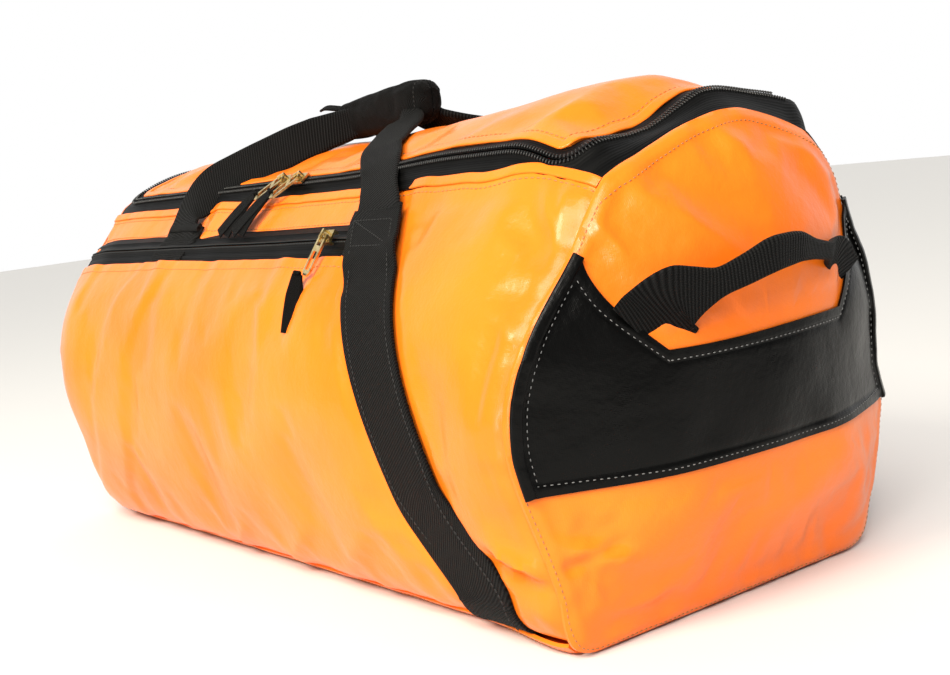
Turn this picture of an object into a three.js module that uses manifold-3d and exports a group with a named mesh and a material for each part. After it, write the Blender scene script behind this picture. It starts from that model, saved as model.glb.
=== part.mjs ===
// Orange PVC kit bag (duffel) with webbing straps, a three-sided lid zip, a front pocket,
// joined carry handles and a grab handle on each end.
// Millimetres. +X runs along the bag, -Y is the pocket side, +Z is up, and the origin is the
// middle of the base's underside.
import * as THREE from "three";
import { mergeVertices } from "three/addons/utils/BufferGeometryUtils.js";
import Module from "manifold-3d";

const manifold = await Module();
manifold.setup();

// ---- Driving dimensions -------------------------------------------------------------------
const SEAM_X = 310; // end seams, from the middle of the bag
const SWELL_START = 250; // the body is straight between these stations and tapers beyond them
const SWELL_WIDTH = 0.045; // how much wider the straight part is than the end seams
const SWELL_HEIGHT = 0.015;
const TAPER_STEPS = [0, 16, 30, 42, 52]; // stations of the taper, beyond SWELL_START
const ZIP_Y = 77; // the lid's front and back edges, on the end seam's outline
const ZIP_Z = 262;
const CROWN_Z = 284; // top of the end seam's outline
const BASE_HALF = 104; // half width of the flat base
const FABRIC = 3; // wall thickness of the coated fabric
const GAP = 0.5; // running gap between neighbouring pieces
const WEBBING = 2.4; // thickness of the webbing
const WEBBING_WIDTH = 50;
const STRAP_LIFT = 0.6; // the straps lie this far off the wrap
const PANEL_LOW = 3.6; // the base and pocket panels lie this far off the wrap, over the straps
const PANEL_HIGH = 6.1;
const END_DOME = 38; // how far the filled end panels bulge
const DOME_CENTRE_Z = 145;

const STRAP_TOP_X = 134; // strap centre line at the handle anchors
const STRAP_FOOT_X = 220; // and where it turns under the bag
const ANCHOR_Z = 235; // height at which the carry handles leave the straps
const STRAP_FOOT_Z = 26;
const BASE_LIP_Z = 20; // the base panel turns up the sides to here

const POCKET_TOP_Z = 213; // top edge of the pocket panel
const POCKET_BAND_TOP_Z = 232; // top edge of the pocket zip's upper tape
const POCKET_END_X = 106; // the pocket zip stops here, beside the right strap
const COIL_HALF = 2.5;
const POCKET_TAPE = 1.6;

const LID_END_X = SWELL_START + TAPER_STEPS[3]; // ends of the lid
const TAPE_WIDTH = 12;

const GRIP_HALF = 61; // half length of the grip pads
const GRIP_LOW_Z = 294;
const GRIP_HIGH_Z = 334;
const HANDLE_CORNER_X = 72; // where the handle webbing turns into the grip

const LOOP_HALF = 46; // end handle: half the distance between its hinge points
const LOOP_REACH = 28;
const LOOP_Z = 190;
const LOOP_TILT = THREE.MathUtils.degToRad(42); // the loop stands out and up at rest
const LOOP_STANDOFF = 10; // hinge line above the end panel

// ---- Colours --------------------------------------------------------------------------------
const orangePvc = () => new THREE.MeshStandardMaterial({ color: 0xf47a20, roughness: 0.4 });
const blackPvc = () => new THREE.MeshStandardMaterial({ color: 0x17181b, roughness: 0.25 });
const webbingBlack = () => new THREE.MeshStandardMaterial({ color: 0x202022, roughness: 0.85 });
const zipTape = () => new THREE.MeshStandardMaterial({ color: 0x141416, roughness: 0.8 });
const coilNylon = () => new THREE.MeshStandardMaterial({ color: 0x6a6a6e, roughness: 0.5 });
const paleBrass = () => new THREE.MeshStandardMaterial({
  color: 0xc9b37a,
  roughness: 0.3,
  metalness: 1,
});

// ---- Geometry helpers -------------------------------------------------------------------------
/** A geometry from points and triangles, turned inside out if its faces point inwards. */
function closedGeometry(points, triangles) {
  const a = new THREE.Vector3();
  const b = new THREE.Vector3();
  let volume = 0;
  for (let i = 0; i < triangles.length; i += 3) {
    a.copy(points[triangles[i]]);
    b.copy(points[triangles[i + 1]]);
    volume += a.dot(b.cross(points[triangles[i + 2]]));
  }
  const ordered = volume < 0 ? triangles.toReversed() : triangles;
  const geometry = new THREE.BufferGeometry();
  geometry.setFromPoints(points);
  geometry.setIndex(ordered);
  geometry.computeVertexNormals();
  return geometry;
}

/** A closed sheet: place(u, v, side) gives its inner face for side 0 and its outer for 1. */
function sheet(us, vs, place) {
  const points = [];
  for (const side of [0, 1]) {
    for (const u of us) {
      for (const v of vs) {
        points.push(place(u, v, side));
      }
    }
  }
  const triangles = [];
  const at = (i, j, side) => (side * us.length + i) * vs.length + j;
  const quad = (a, b, c, d) => triangles.push(a, b, c, a, c, d);
  const lastI = us.length - 1;
  const lastJ = vs.length - 1;
  for (let i = 0; i < lastI; i += 1) {
    for (let j = 0; j < lastJ; j += 1) {
      quad(at(i, j, 1), at(i + 1, j, 1), at(i + 1, j + 1, 1), at(i, j + 1, 1));
      quad(at(i, j, 0), at(i, j + 1, 0), at(i + 1, j + 1, 0), at(i + 1, j, 0));
    }
    quad(at(i + 1, 0, 1), at(i, 0, 1), at(i, 0, 0), at(i + 1, 0, 0));
    quad(at(i, lastJ, 1), at(i + 1, lastJ, 1), at(i + 1, lastJ, 0), at(i, lastJ, 0));
  }
  for (let j = 0; j < lastJ; j += 1) {
    quad(at(0, j, 1), at(0, j + 1, 1), at(0, j + 1, 0), at(0, j, 0));
    quad(at(lastI, j + 1, 1), at(lastI, j, 1), at(lastI, j, 0), at(lastI, j + 1, 0));
  }
  return closedGeometry(points, triangles);
}

/** A closed disc of a given number of spokes: place(spoke, radius, side) gives its two faces. */
function disc(spokes, radii, place) {
  const points = [];
  for (const side of [0, 1]) {
    for (const radius of radii) {
      for (let k = 0; k < spokes; k += 1) {
        points.push(place(k, radius, side));
      }
    }
    points.push(place(0, 0, side));
  }
  const layer = radii.length * spokes + 1;
  const at = (ring, k, side) => side * layer + ring * spokes + (k % spokes);
  const hub = (side) => side * layer + layer - 1;
  const triangles = [];
  const quad = (a, b, c, d) => triangles.push(a, b, c, a, c, d);
  const last = radii.length - 1;
  for (let k = 0; k < spokes; k += 1) {
    for (let ring = 0; ring < last; ring += 1) {
      quad(at(ring, k, 1), at(ring, k + 1, 1), at(ring + 1, k + 1, 1), at(ring + 1, k, 1));
      quad(at(ring, k, 0), at(ring + 1, k, 0), at(ring + 1, k + 1, 0), at(ring, k + 1, 0));
    }
    triangles.push(at(last, k, 1), at(last, k + 1, 1), hub(1));
    triangles.push(at(last, k + 1, 0), at(last, k, 0), hub(0));
    quad(at(0, k + 1, 1), at(0, k, 1), at(0, k, 0), at(0, k + 1, 0));
  }
  return closedGeometry(points, triangles);
}

/** Evenly spaced values from start to end. */
function steps(start, end, count) {
  return Array.from({ length: count + 1 }, (_, i) => start + ((end - start) * i) / count);
}

function part(name, geometry, material) {
  const mesh = new THREE.Mesh(geometry, material);
  mesh.name = name;
  return mesh;
}

// ---- The bag's skin -------------------------------------------------------------------------
// Half of the end seam's outline, from the middle of the base round the back to the crown.
function halfOutline() {
  const path = new THREE.Path();
  path.moveTo(0, PANEL_HIGH);
  path.lineTo(BASE_HALF, PANEL_HIGH);
  path.quadraticCurveTo(126, PANEL_HIGH, 131, STRAP_FOOT_Z);
  path.bezierCurveTo(142, 80, 160, 148, 128, 196);
  path.bezierCurveTo(118, 211, 96, 240, ZIP_Y, ZIP_Z);
  path.bezierCurveTo(52, 278, 26, CROWN_Z, 0, CROWN_Z);
  return path.getPoints(6);
}

const HALF = halfOutline();
const GIRTH = [0];
for (let i = 1; i < HALF.length; i += 1) {
  GIRTH.push(GIRTH[i - 1] + HALF[i].distanceTo(HALF[i - 1]));
}
const HALF_GIRTH = GIRTH.at(-1);

/** Outward direction at each corner of the half outline. */
const OUTWARD = HALF.map((point, i) => {
  if (i === 0) return new THREE.Vector2(0, -1);
  if (i === HALF.length - 1) return new THREE.Vector2(0, 1);
  const before = point.clone().sub(HALF[i - 1]).normalize();
  const after = HALF[i + 1].clone().sub(point).normalize();
  const along = before.add(after).normalize();
  return new THREE.Vector2(along.y, -along.x);
});

/** 1 on the straight part of the body, falling to 0 at the end seams. */
function swell(x) {
  const beyond = Math.max(0, Math.abs(x) - SWELL_START) / (SEAM_X - SWELL_START);
  return 1 - Math.min(1, beyond) ** 2;
}

/**
 * A point on the skin at station x and girth s, lifted by offset. The girth is measured from
 * the middle of the base: positive up the back, negative up the front, and past the crown it
 * carries on down the other side.
 */
function skin(x, s, offset) {
  const round = THREE.MathUtils.euclideanModulo(s, 2 * HALF_GIRTH);
  const mirrored = round > HALF_GIRTH;
  const girth = mirrored ? 2 * HALF_GIRTH - round : round;
  let i = GIRTH.findIndex((value) => value >= girth - 1e-9);
  i = Math.max(1, i);
  const t = (girth - GIRTH[i - 1]) / (GIRTH[i] - GIRTH[i - 1]);
  const base = HALF[i - 1].clone().lerp(HALF[i], t);
  const lift = OUTWARD[i - 1].clone().lerp(OUTWARD[i], t).multiplyScalar(offset);
  const y = base.x * (1 + SWELL_WIDTH * swell(x)) + lift.x;
  const rise = (base.y - PANEL_HIGH) * (1 + SWELL_HEIGHT * swell(x));
  const z = PANEL_HIGH + rise + lift.y;
  return new THREE.Vector3(x, mirrored ? -y : y, z);
}

/** The girth at which the side of the bag reaches a height. */
function girthAt(height) {
  const i = HALF.findIndex((point) => point.y >= height - 1e-9 && point.y > PANEL_HIGH);
  const t = (height - HALF[i - 1].y) / (HALF[i].y - HALF[i - 1].y);
  return GIRTH[i - 1] + t * (GIRTH[i] - GIRTH[i - 1]);
}

/** Girth values from start to end that take in every corner of the outline between them. */
function girthSteps(start, end) {
  const corners = [];
  for (const turn of [-2, 0, 2]) {
    for (const value of GIRTH) {
      corners.push(turn * HALF_GIRTH + value, turn * HALF_GIRTH - value);
    }
  }
  const inside = corners.filter((s) => s > start + 0.2 && s < end - 0.2);
  inside.sort((a, b) => a - b);
  const distinct = inside.filter((s, i) => i === 0 || s - inside[i - 1] > 0.01);
  return [start, ...distinct, end];
}

/** Stations along the bag from start to end, closer together where the ends taper. */
function stations(start, end) {
  const marks = [];
  for (const beyond of TAPER_STEPS) {
    marks.push(-SWELL_START - beyond, SWELL_START + beyond);
  }
  const inside = marks.filter((x) => x > start + 1 && x < end - 1);
  inside.sort((a, b) => a - b);
  return [start, ...inside, end];
}

/** A panel that lies on the skin between two stations and two girths. */
function skinPanel([x0, x1], [s0, s1], [low, high]) {
  const place = (x, s, side) => skin(x, s, side === 0 ? low : high);
  return sheet(stations(x0, x1), girthSteps(s0, s1), place);
}

const ZIP_S = girthAt(ZIP_Z);
const ANCHOR_S = girthAt(ANCHOR_Z);
const FOOT_S = girthAt(STRAP_FOOT_Z);
const LIP_S = girthAt(BASE_LIP_Z);
const POCKET_TOP_S = girthAt(POCKET_TOP_Z);
const BAND_TOP_S = girthAt(POCKET_BAND_TOP_Z);
const COIL_S = (POCKET_TOP_S + BAND_TOP_S) / 2;

// ---- Body panels ----------------------------------------------------------------------------
function wrapPanel() {
  const edge = ZIP_S - GAP / 2;
  return skinPanel([-SEAM_X, SEAM_X], [-edge, edge], [-FABRIC, 0]);
}

function basePanel() {
  return skinPanel([-SEAM_X, SEAM_X], [-LIP_S, LIP_S], [PANEL_LOW, PANEL_HIGH]);
}

/** The closed outline of an end panel, as points with y across and z up. */
const END_OUTLINE = [
  ...HALF.slice(1),
  ...HALF.slice(1, -1).reverse().map((point) => new THREE.Vector2(-point.x, point.y)),
];

/** How far out an end panel stands: its height over the seam plane at a point (y, z). */
function domeHeight(y, z) {
  const arm = new THREE.Vector2(y, z - DOME_CENTRE_Z);
  const reach = arm.length();
  if (reach < 1e-6) return END_DOME;
  arm.divideScalar(reach);
  let edge = Infinity;
  END_OUTLINE.forEach((from, i) => {
    const to = END_OUTLINE[(i + 1) % END_OUTLINE.length];
    const start = new THREE.Vector2(from.x, from.y - DOME_CENTRE_Z);
    const along = to.clone().sub(from);
    const turn = arm.cross(along);
    if (Math.abs(turn) < 1e-9) return;
    const distance = start.cross(along) / turn;
    const share = start.cross(arm) / turn;
    if (distance > 0 && share >= -1e-9 && share <= 1 + 1e-9) edge = Math.min(edge, distance);
  });
  return END_DOME * (1 - Math.min(1, reach / edge) ** 2.4);
}

/** A point over an end panel's outer face, at a clearance from it; end is 1 or -1. */
function onEnd(end, y, z, clearance) {
  return new THREE.Vector3(end * (SEAM_X + GAP + FABRIC + domeHeight(y, z) + clearance), y, z);
}

function endPanel(end) {
  const radii = [1, 0.86, 0.68, 0.45, 0.22];
  const place = (k, radius, side) => {
    const outline = END_OUTLINE[k];
    const y = outline.x * radius;
    const z = DOME_CENTRE_Z + (outline.y - DOME_CENTRE_Z) * radius;
    return onEnd(end, y, z, side === 0 ? -FABRIC : 0);
  };
  return disc(END_OUTLINE.length, radii, place);
}

/** Half width of the end seam's outline at a height, a little inside the seam. */
function endHalfWidth(z) {
  const i = HALF.findIndex((point) => point.y >= z && point.y > PANEL_HIGH);
  const t = (z - HALF[i - 1].y) / (HALF[i].y - HALF[i - 1].y);
  return 0.985 * THREE.MathUtils.lerp(HALF[i - 1].x, HALF[i].x, t);
}

// The reinforcing patch reaches up to a tip at each side and dips to a level middle.
const PATCH_LOW_Z = 91;
const PATCH_TIP_Z = 219;
const PATCH_MIDDLE_Z = 160;
const PATCH_DIP_AT = 0.42; // share of the half width where the slanting edge starts

function patchTop(share) {
  const slant = Math.max(0, Math.abs(share) - PATCH_DIP_AT) / (1 - PATCH_DIP_AT);
  return PATCH_MIDDLE_Z + (PATCH_TIP_Z - PATCH_MIDDLE_Z) * slant;
}

function endPatch(end) {
  const shares = [-1, -0.85, -0.7, -0.55, -0.42, -0.2, 0, 0.2, 0.42, 0.55, 0.7, 0.85, 1];
  const place = (share, rise, side) => {
    const z = THREE.MathUtils.lerp(PATCH_LOW_Z, patchTop(share), rise);
    return onEnd(end, share * endHalfWidth(z), z, 0.8 + 1.8 * side);
  };
  return sheet(shares, steps(0, 1, 6), place);
}

// ---- Front pocket ---------------------------------------------------------------------------
/** Centre line of the right strap on the front, at a girth. */
function strapCentre(girth) {
  const t = (girth - FOOT_S) / (ANCHOR_S - FOOT_S);
  return THREE.MathUtils.lerp(STRAP_FOOT_X, STRAP_TOP_X, THREE.MathUtils.clamp(t, 0, 1));
}

function pocketPanel() {
  const left = 1 - SEAM_X;
  const right = (s) => strapCentre(-s) - WEBBING_WIDTH / 2 - GAP;
  const place = (u, s, side) => {
    const straight = THREE.MathUtils.lerp(-SWELL_START, right(s), u);
    const x = u < 0 ? THREE.MathUtils.lerp(-SWELL_START, left, -u) : straight;
    return skin(x, s, side === 0 ? PANEL_LOW : PANEL_HIGH);
  };
  const us = [-1, -0.75, -0.5, -0.25, 0, 1];
  return sheet(us, girthSteps(-POCKET_TOP_S, -LIP_S - GAP), place);
}

/** A strip of the pocket's zip band, from a lower girth to an upper one. */
function pocketStrip([lower, upper], thickness) {
  const layer = [PANEL_LOW, PANEL_LOW + thickness];
  return skinPanel([1 - SEAM_X, POCKET_END_X], [-upper, -lower], layer);
}

// ---- Lid and its zip --------------------------------------------------------------------------
const LID_BACK_S = ZIP_S + GAP / 2;
const LID_FRONT_S = 2 * HALF_GIRTH - ZIP_S - GAP / 2;

function lidPanel() {
  return skinPanel([-LID_END_X, LID_END_X], [LID_BACK_S, LID_FRONT_S], [-FABRIC, 0]);
}

/**
 * A three-sided strip along the lid's open edges: from the back of the left end, along the
 * front, to the back of the right end. near and far are its distances from the lid's edge,
 * positive away from the lid, and endReach widens it beside the lid's ends.
 */
function edgeStrip([near, far], [low, high], endReach = 1) {
  const corner = 2 * HALF_GIRTH - ZIP_S;
  const sideSteps = girthSteps(LID_BACK_S + 1, corner);
  const path = sideSteps.map((s) => ({ x: -LID_END_X, s, outX: -1, outS: 0 }));
  if (far > 0) path.push({ ...path.at(-1) });
  path.at(-1).outS = 1;
  for (const x of stations(-LID_END_X, LID_END_X).slice(1, -1)) {
    path.push({ x, s: corner, outX: 0, outS: 1 });
  }
  const back = sideSteps.map((s) => ({ x: LID_END_X, s, outX: 1, outS: 0 })).reverse();
  path.push({ ...back[0], outS: 1 }, ...back.slice(far > 0 ? 0 : 1));
  const taperMark = (SWELL_START + TAPER_STEPS[4] - LID_END_X) / endReach;
  const marks = girthSteps(corner + near, corner + far).map((s) => s - corner);
  if (taperMark > near && taperMark < far) marks.push(taperMark);
  marks.sort((a, b) => a - b);
  const place = (k, distance, side) => {
    const { x, s, outX, outS } = path[k];
    return skin(x + outX * distance * endReach, s + outS * distance, side === 0 ? low : high);
  };
  return sheet(path.map((_, k) => k), marks, place);
}

// ---- Straps and carry handles ---------------------------------------------------------------
/** A strap from one handle anchor, under the bag, to the other; end is 1 or -1. */
function strap(end) {
  const place = (s, across, side) => {
    const x = end * strapCentre(Math.abs(s)) + (across * WEBBING_WIDTH) / 2;
    return skin(x, s, STRAP_LIFT + WEBBING * side);
  };
  return sheet(girthSteps(-ANCHOR_S, ANCHOR_S), [-1, 1], place);
}

// A handle is sewn on top of its strap, so its hinge line lies above the strap's outer face.
const HINGE_LIFT = STRAP_LIFT + 1.5 * WEBBING + 0.4;
const anchorPoint = skin(0, -ANCHOR_S, HINGE_LIFT);

/** The front handle seen from the end: up the shoulder, over the lid and up into the grip. */
const handleProfile = new THREE.SplineCurve([
  new THREE.Vector2(anchorPoint.y, anchorPoint.z),
  new THREE.Vector2(-96, 258),
  new THREE.Vector2(-79, 280),
  new THREE.Vector2(-46, 294),
  new THREE.Vector2(-17, 297),
  new THREE.Vector2(-7, 305),
  new THREE.Vector2(-7, 329),
]);
const PROFILE_LENGTH = handleProfile.getLength();
const GRIP_STRIP = 12; // half width of the folded webbing inside the grip
const GRIP_AT = PROFILE_LENGTH - GRIP_STRIP;

/** The webbing of one carry handle; facing is -1 for the front handle and 1 for the back. */
function handleWebbing(facing) {
  const legSteps = 9;
  const place = (k, across, side) => {
    const end = k <= legSteps ? 1 : -1;
    const climb = (k <= legSteps ? k : 2 * legSteps + 1 - k) / legSteps;
    const centre = THREE.MathUtils.lerp(STRAP_TOP_X, HANDLE_CORNER_X, climb);
    const halfWidth = THREE.MathUtils.lerp(WEBBING_WIDTH / 2, 10, climb ** 3);
    const distance = GRIP_AT * climb + across * GRIP_STRIP * climb ** 4;
    const t = Math.min(1, distance / PROFILE_LENGTH);
    const point = handleProfile.getPointAt(t);
    const tangent = handleProfile.getTangentAt(t);
    const lift = (side - 0.5) * WEBBING;
    const y = point.x - tangent.y * lift;
    const z = point.y + tangent.x * lift;
    return new THREE.Vector3(end * (centre + across * halfWidth), -facing * y, z);
  };
  return sheet(steps(0, 2 * legSteps + 1, 2 * legSteps + 1), [-1, 0, 1], place);
}

/** Half of the grip pad: a channel over one handle's webbing, open towards the other handle. */
function gripPad(facing) {
  const wall = 3.5;
  const outer = 13.5;
  const round = 3;
  const shape = new THREE.Shape();
  shape.moveTo(GAP, GRIP_LOW_Z);
  shape.lineTo(outer - round, GRIP_LOW_Z);
  shape.lineTo(outer, GRIP_LOW_Z + round);
  shape.lineTo(outer, GRIP_HIGH_Z - round);
  shape.lineTo(outer - round, GRIP_HIGH_Z);
  shape.lineTo(GAP, GRIP_HIGH_Z);
  shape.lineTo(GAP, GRIP_HIGH_Z - wall);
  shape.lineTo(outer - wall, GRIP_HIGH_Z - wall);
  shape.lineTo(outer - wall, GRIP_LOW_Z + wall);
  shape.lineTo(GAP, GRIP_LOW_Z + wall);
  const geometry = new THREE.ExtrudeGeometry(shape, { depth: 2 * GRIP_HALF, bevelEnabled: false });
  // The section is drawn as (y, z) and pushed along X.
  geometry.rotateX(Math.PI / 2);
  geometry.rotateZ(Math.PI / 2);
  geometry.translate(-GRIP_HALF, 0, 0);
  if (facing < 0) geometry.rotateZ(Math.PI);
  return geometry;
}

// ---- End handles --------------------------------------------------------------------------------
const HINGE_X = onEnd(1, LOOP_HALF, LOOP_Z, LOOP_STANDOFF).x;

/** The loop of an end handle, an arch of folded webbing between its two hinge points. */
function endLoop(end) {
  const outward = new THREE.Vector3(end * Math.cos(LOOP_TILT), 0, Math.sin(LOOP_TILT));
  const across = new THREE.Vector3(-end * Math.sin(LOOP_TILT), 0, Math.cos(LOOP_TILT));
  const place = (turn, width, side) => {
    const swing = Math.PI * turn;
    const thick = (side - 0.5) * 4;
    const y = -(LOOP_HALF + thick) * Math.cos(swing);
    const reach = (LOOP_REACH + thick) * Math.sin(swing);
    const halfWidth = 7 + 5 * Math.sin(swing);
    const point = new THREE.Vector3(end * HINGE_X, y, LOOP_Z);
    return point.addScaledVector(outward, reach).addScaledVector(across, width * halfWidth);
  };
  return sheet(steps(0, 1, 14), [-1, 1], place);
}

/** Fixed end of an end handle, from under the patch's slanting edge to the hinge point. */
function endAnchor(end, hand) {
  const foot = [new THREE.Vector2(92, 205), new THREE.Vector2(64, 167)];
  const neck = [new THREE.Vector2(50, LOOP_Z + 7), new THREE.Vector2(50, LOOP_Z - 7)];
  const place = (travel, across, side) => {
    const from = foot[0].clone().lerp(foot[1], across);
    const to = neck[0].clone().lerp(neck[1], across);
    const at = from.lerp(to, travel);
    const clearance = 1 + (LOOP_STANDOFF - 2) * travel ** 2 + WEBBING * side;
    return onEnd(end, hand * at.x, at.y, clearance);
  };
  return sheet(steps(0, 1, 5), steps(0, 1, 3), place);
}

// ---- Zip sliders and pulls ----------------------------------------------------------------------
const COIL_TOP = 2.5; // the coil stands this far off its tape
const TAB_THICK = 1.5;
const TAB_LENGTH = 29;
const RIBBON_HALF = 4.5;
const RIBBON_THICK = 1.4;
const ARCH_HALF = 3.1;
const ARCH_WALL = 1.3;
const PLATE_LOW = COIL_TOP + 0.5;
const PLATE_HIGH = PLATE_LOW + 1.5;
const TAB_LIFT = PLATE_HIGH + 1.9; // the tab's cross bar turns here, inside the arch

/** Push a section drawn as (y, z) along X, centred on x = 0. */
function extrudeAlongX(section, length) {
  const geometry = new THREE.ExtrudeGeometry(section, { depth: length, bevelEnabled: false });
  geometry.rotateX(Math.PI / 2);
  geometry.rotateZ(Math.PI / 2);
  geometry.translate(-length / 2, 0, 0);
  return geometry;
}

function polygon(points) {
  return new THREE.Shape(points.map(([x, y]) => new THREE.Vector2(x, y)));
}

/** Join two overlapping closed geometries into one. */
function join(first, second) {
  const [a, b] = [first, second].map((geometry) => {
    const bare = geometry.clone();
    bare.deleteAttribute("normal");
    bare.deleteAttribute("uv");
    const merged = mergeVertices(bare);
    const vertProperties = new Float32Array(merged.attributes.position.array);
    const triVerts = new Uint32Array(merged.index.array);
    return new manifold.Manifold(new manifold.Mesh({ numProp: 3, vertProperties, triVerts }));
  });
  const result = a.add(b).getMesh();
  const geometry = new THREE.BufferGeometry();
  geometry.setAttribute("position", new THREE.BufferAttribute(result.vertProperties, 3));
  geometry.setIndex(Array.from(result.triVerts));
  geometry.computeVertexNormals();
  return geometry;
}

/**
 * A slider with x along the zip, y up the slope and z outwards from the tape. It closes round
 * the coil's upper side, and round its lower side too where both sides stay on one panel. The
 * arch that holds the tab is turned by swing.
 */
function slider(closesBothSides, swing) {
  const [inner, outer, foot] = [3.4, 4.6, 0.6];
  const lower = closesBothSides
    ? [[-outer, foot], [-inner, foot], [-inner, PLATE_LOW]]
    : [[-outer, PLATE_LOW]];
  const plate = polygon([
    [-outer, PLATE_HIGH],
    ...lower,
    [inner, PLATE_LOW],
    [inner, foot],
    [outer, foot],
    [outer, PLATE_HIGH],
  ]);
  const root = PLATE_HIGH - 0.4;
  const top = PLATE_HIGH + 4.6;
  const opening = ARCH_HALF - ARCH_WALL;
  const arch = polygon([
    [-ARCH_HALF, root],
    [-ARCH_HALF, top],
    [ARCH_HALF, top],
    [ARCH_HALF, root],
    [opening, root],
    [opening, top - ARCH_WALL],
    [-opening, top - ARCH_WALL],
    [-opening, root],
  ]);
  return join(extrudeAlongX(plate, 12), extrudeAlongX(arch, 2).rotateZ(swing));
}

/** A pull tab that hangs from its cross bar at the origin, with a window for the ribbon. */
function pullTab() {
  const bar = TAB_THICK / 2;
  const half = 4.8;
  const outline = polygon([
    [-half, bar],
    [-half, -TAB_LENGTH + 3],
    [-half + 2.5, -TAB_LENGTH],
    [half - 2.5, -TAB_LENGTH],
    [half, -TAB_LENGTH + 3],
    [half, bar],
  ]);
  const archWindow = polygon([[-2.6, -bar], [2.6, -bar], [2.6, -8], [-2.6, -8]]);
  const ribbonWindow = polygon([[-2.6, -12], [2.6, -12], [2.6, -25], [-2.6, -25]]);
  outline.holes.push(archWindow, ribbonWindow);
  const geometry = new THREE.ExtrudeGeometry(outline, { depth: TAB_THICK, bevelEnabled: false });
  geometry.translate(0, 0, -TAB_THICK / 2);
  return geometry;
}

/** A pull ribbon over the skin, from its top to its tip, each given as (station, girth). */
function pullRibbon(top, tip, low) {
  const along = tip.clone().sub(top).normalize();
  const across = new THREE.Vector2(along.y, -along.x).multiplyScalar(RIBBON_HALF);
  const place = (travel, hand, side) => {
    const at = top.clone().lerp(tip, travel).addScaledVector(across, hand);
    return skin(at.x, at.y, low + RIBBON_THICK * side);
  };
  return sheet(steps(0, 1, 6), [-1, 1], place);
}

/**
 * A slider, its tab and its ribbon at station x and girth -s. lift is the tape's height over
 * the skin, swing how far the tab and ribbon hang off the straight drop towards +X, and lean
 * how far the tab tips in to follow the bag.
 */
function zipPull(name, { x, s, lift, swing, lean, closesBothSides, ribbonLength, ribbonLow }) {
  const outward = skin(x, -s, 1).sub(skin(x, -s, 0));
  const tab = part(`${name}_pull_tab`, pullTab(), paleBrass());
  tab.position.z = TAB_LIFT;
  tab.rotation.set(lean, 0, swing, "ZXY");
  const fitting = new THREE.Group();
  fitting.position.copy(skin(x, -s, lift));
  fitting.rotation.x = Math.atan2(-outward.y, outward.z);
  fitting.add(part(`${name}_slider`, slider(closesBothSides, swing), paleBrass()), tab);
  const hang = new THREE.Vector2(Math.sin(swing), Math.cos(swing));
  const top = new THREE.Vector2(x, -s).addScaledVector(hang, TAB_LENGTH + 2.5);
  const tip = top.clone().addScaledVector(hang, ribbonLength);
  const ribbon = part(`${name}_pull_ribbon`, pullRibbon(top, tip, ribbonLow), webbingBlack());
  return [fitting, ribbon];
}

// ---- Assembly -------------------------------------------------------------------------------------
const bag = new THREE.Group();

bag.add(part("wrap_panel", wrapPanel(), orangePvc()));
bag.add(part("base_panel", basePanel(), orangePvc()));
bag.add(part("pocket_panel", pocketPanel(), orangePvc()));
bag.add(part("lid_panel", lidPanel(), orangePvc()));

const tapeLow = [POCKET_TOP_S + GAP, COIL_S - COIL_HALF - GAP];
const tapeHigh = [COIL_S + COIL_HALF + GAP, BAND_TOP_S];
const pocketCoil = [COIL_S - COIL_HALF, COIL_S + COIL_HALF];
bag.add(part("pocket_zip_tape_lower", pocketStrip(tapeLow, POCKET_TAPE), zipTape()));
bag.add(part("pocket_zip_tape_upper", pocketStrip(tapeHigh, POCKET_TAPE), zipTape()));
bag.add(part("pocket_zip_coil", pocketStrip(pocketCoil, POCKET_TAPE + 1.8), coilNylon()));

const toSeam = (SEAM_X - GAP - LID_END_X) / TAPE_WIDTH;
const tapeLayer = [0.6, 1.6];
const coilLayer = [2.2, 4];
bag.add(part("main_zip_tape_body", edgeStrip([GAP, TAPE_WIDTH], tapeLayer, toSeam), zipTape()));
bag.add(part("main_zip_tape_lid", edgeStrip([-TAPE_WIDTH, -GAP], tapeLayer), zipTape()));
bag.add(part("main_zip_coil_body", edgeStrip([GAP, 3], coilLayer), coilNylon()));
bag.add(part("main_zip_coil_lid", edgeStrip([-3, -GAP], coilLayer), coilNylon()));

for (const [hand, end] of [["right", 1], ["left", -1]]) {
  bag.add(part(`end_panel_${hand}`, endPanel(end), orangePvc()));
  bag.add(part(`end_patch_${hand}`, endPatch(end), blackPvc()));
  bag.add(part(`strap_${hand}`, strap(end), webbingBlack()));
  bag.add(part(`end_handle_${hand}`, endLoop(end), webbingBlack()));
  bag.add(part(`end_handle_anchor_${hand}_front`, endAnchor(end, -1), webbingBlack()));
  bag.add(part(`end_handle_anchor_${hand}_back`, endAnchor(end, 1), webbingBlack()));
}

for (const [place, facing] of [["front", -1], ["back", 1]]) {
  bag.add(part(`${place}_handle_webbing`, handleWebbing(facing), webbingBlack()));
  bag.add(part(`${place}_grip_pad`, gripPad(facing), webbingBlack()));
}

const degrees = THREE.MathUtils.degToRad;
const mainPull = {
  s: ZIP_S,
  lift: 1.6,
  swing: degrees(-55),
  lean: degrees(5),
  closesBothSides: false,
  ribbonLength: 36,
  ribbonLow: 7.5,
};
bag.add(...zipPull("main_left", { ...mainPull, x: -12 }));
bag.add(...zipPull("main_right", { ...mainPull, x: 10 }));
bag.add(...zipPull("pocket", {
  s: COIL_S,
  x: 96,
  lift: PANEL_LOW + POCKET_TAPE,
  swing: degrees(-12),
  lean: degrees(6),
  closesBothSides: true,
  ribbonLength: 48,
  ribbonLow: 9.4,
}));

export default bag;
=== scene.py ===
# Orange PVC kit bag: its fabric, webbing, zips and stitching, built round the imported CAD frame.
# Lengths are millimetres until a mesh is made; floor, lights and camera are in metres. +X runs
# along the bag, -Y is the pocket side, +Z is up, and a girth is measured round the bag from the
# middle of the base: positive up the back, negative up the front.
import math

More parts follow.
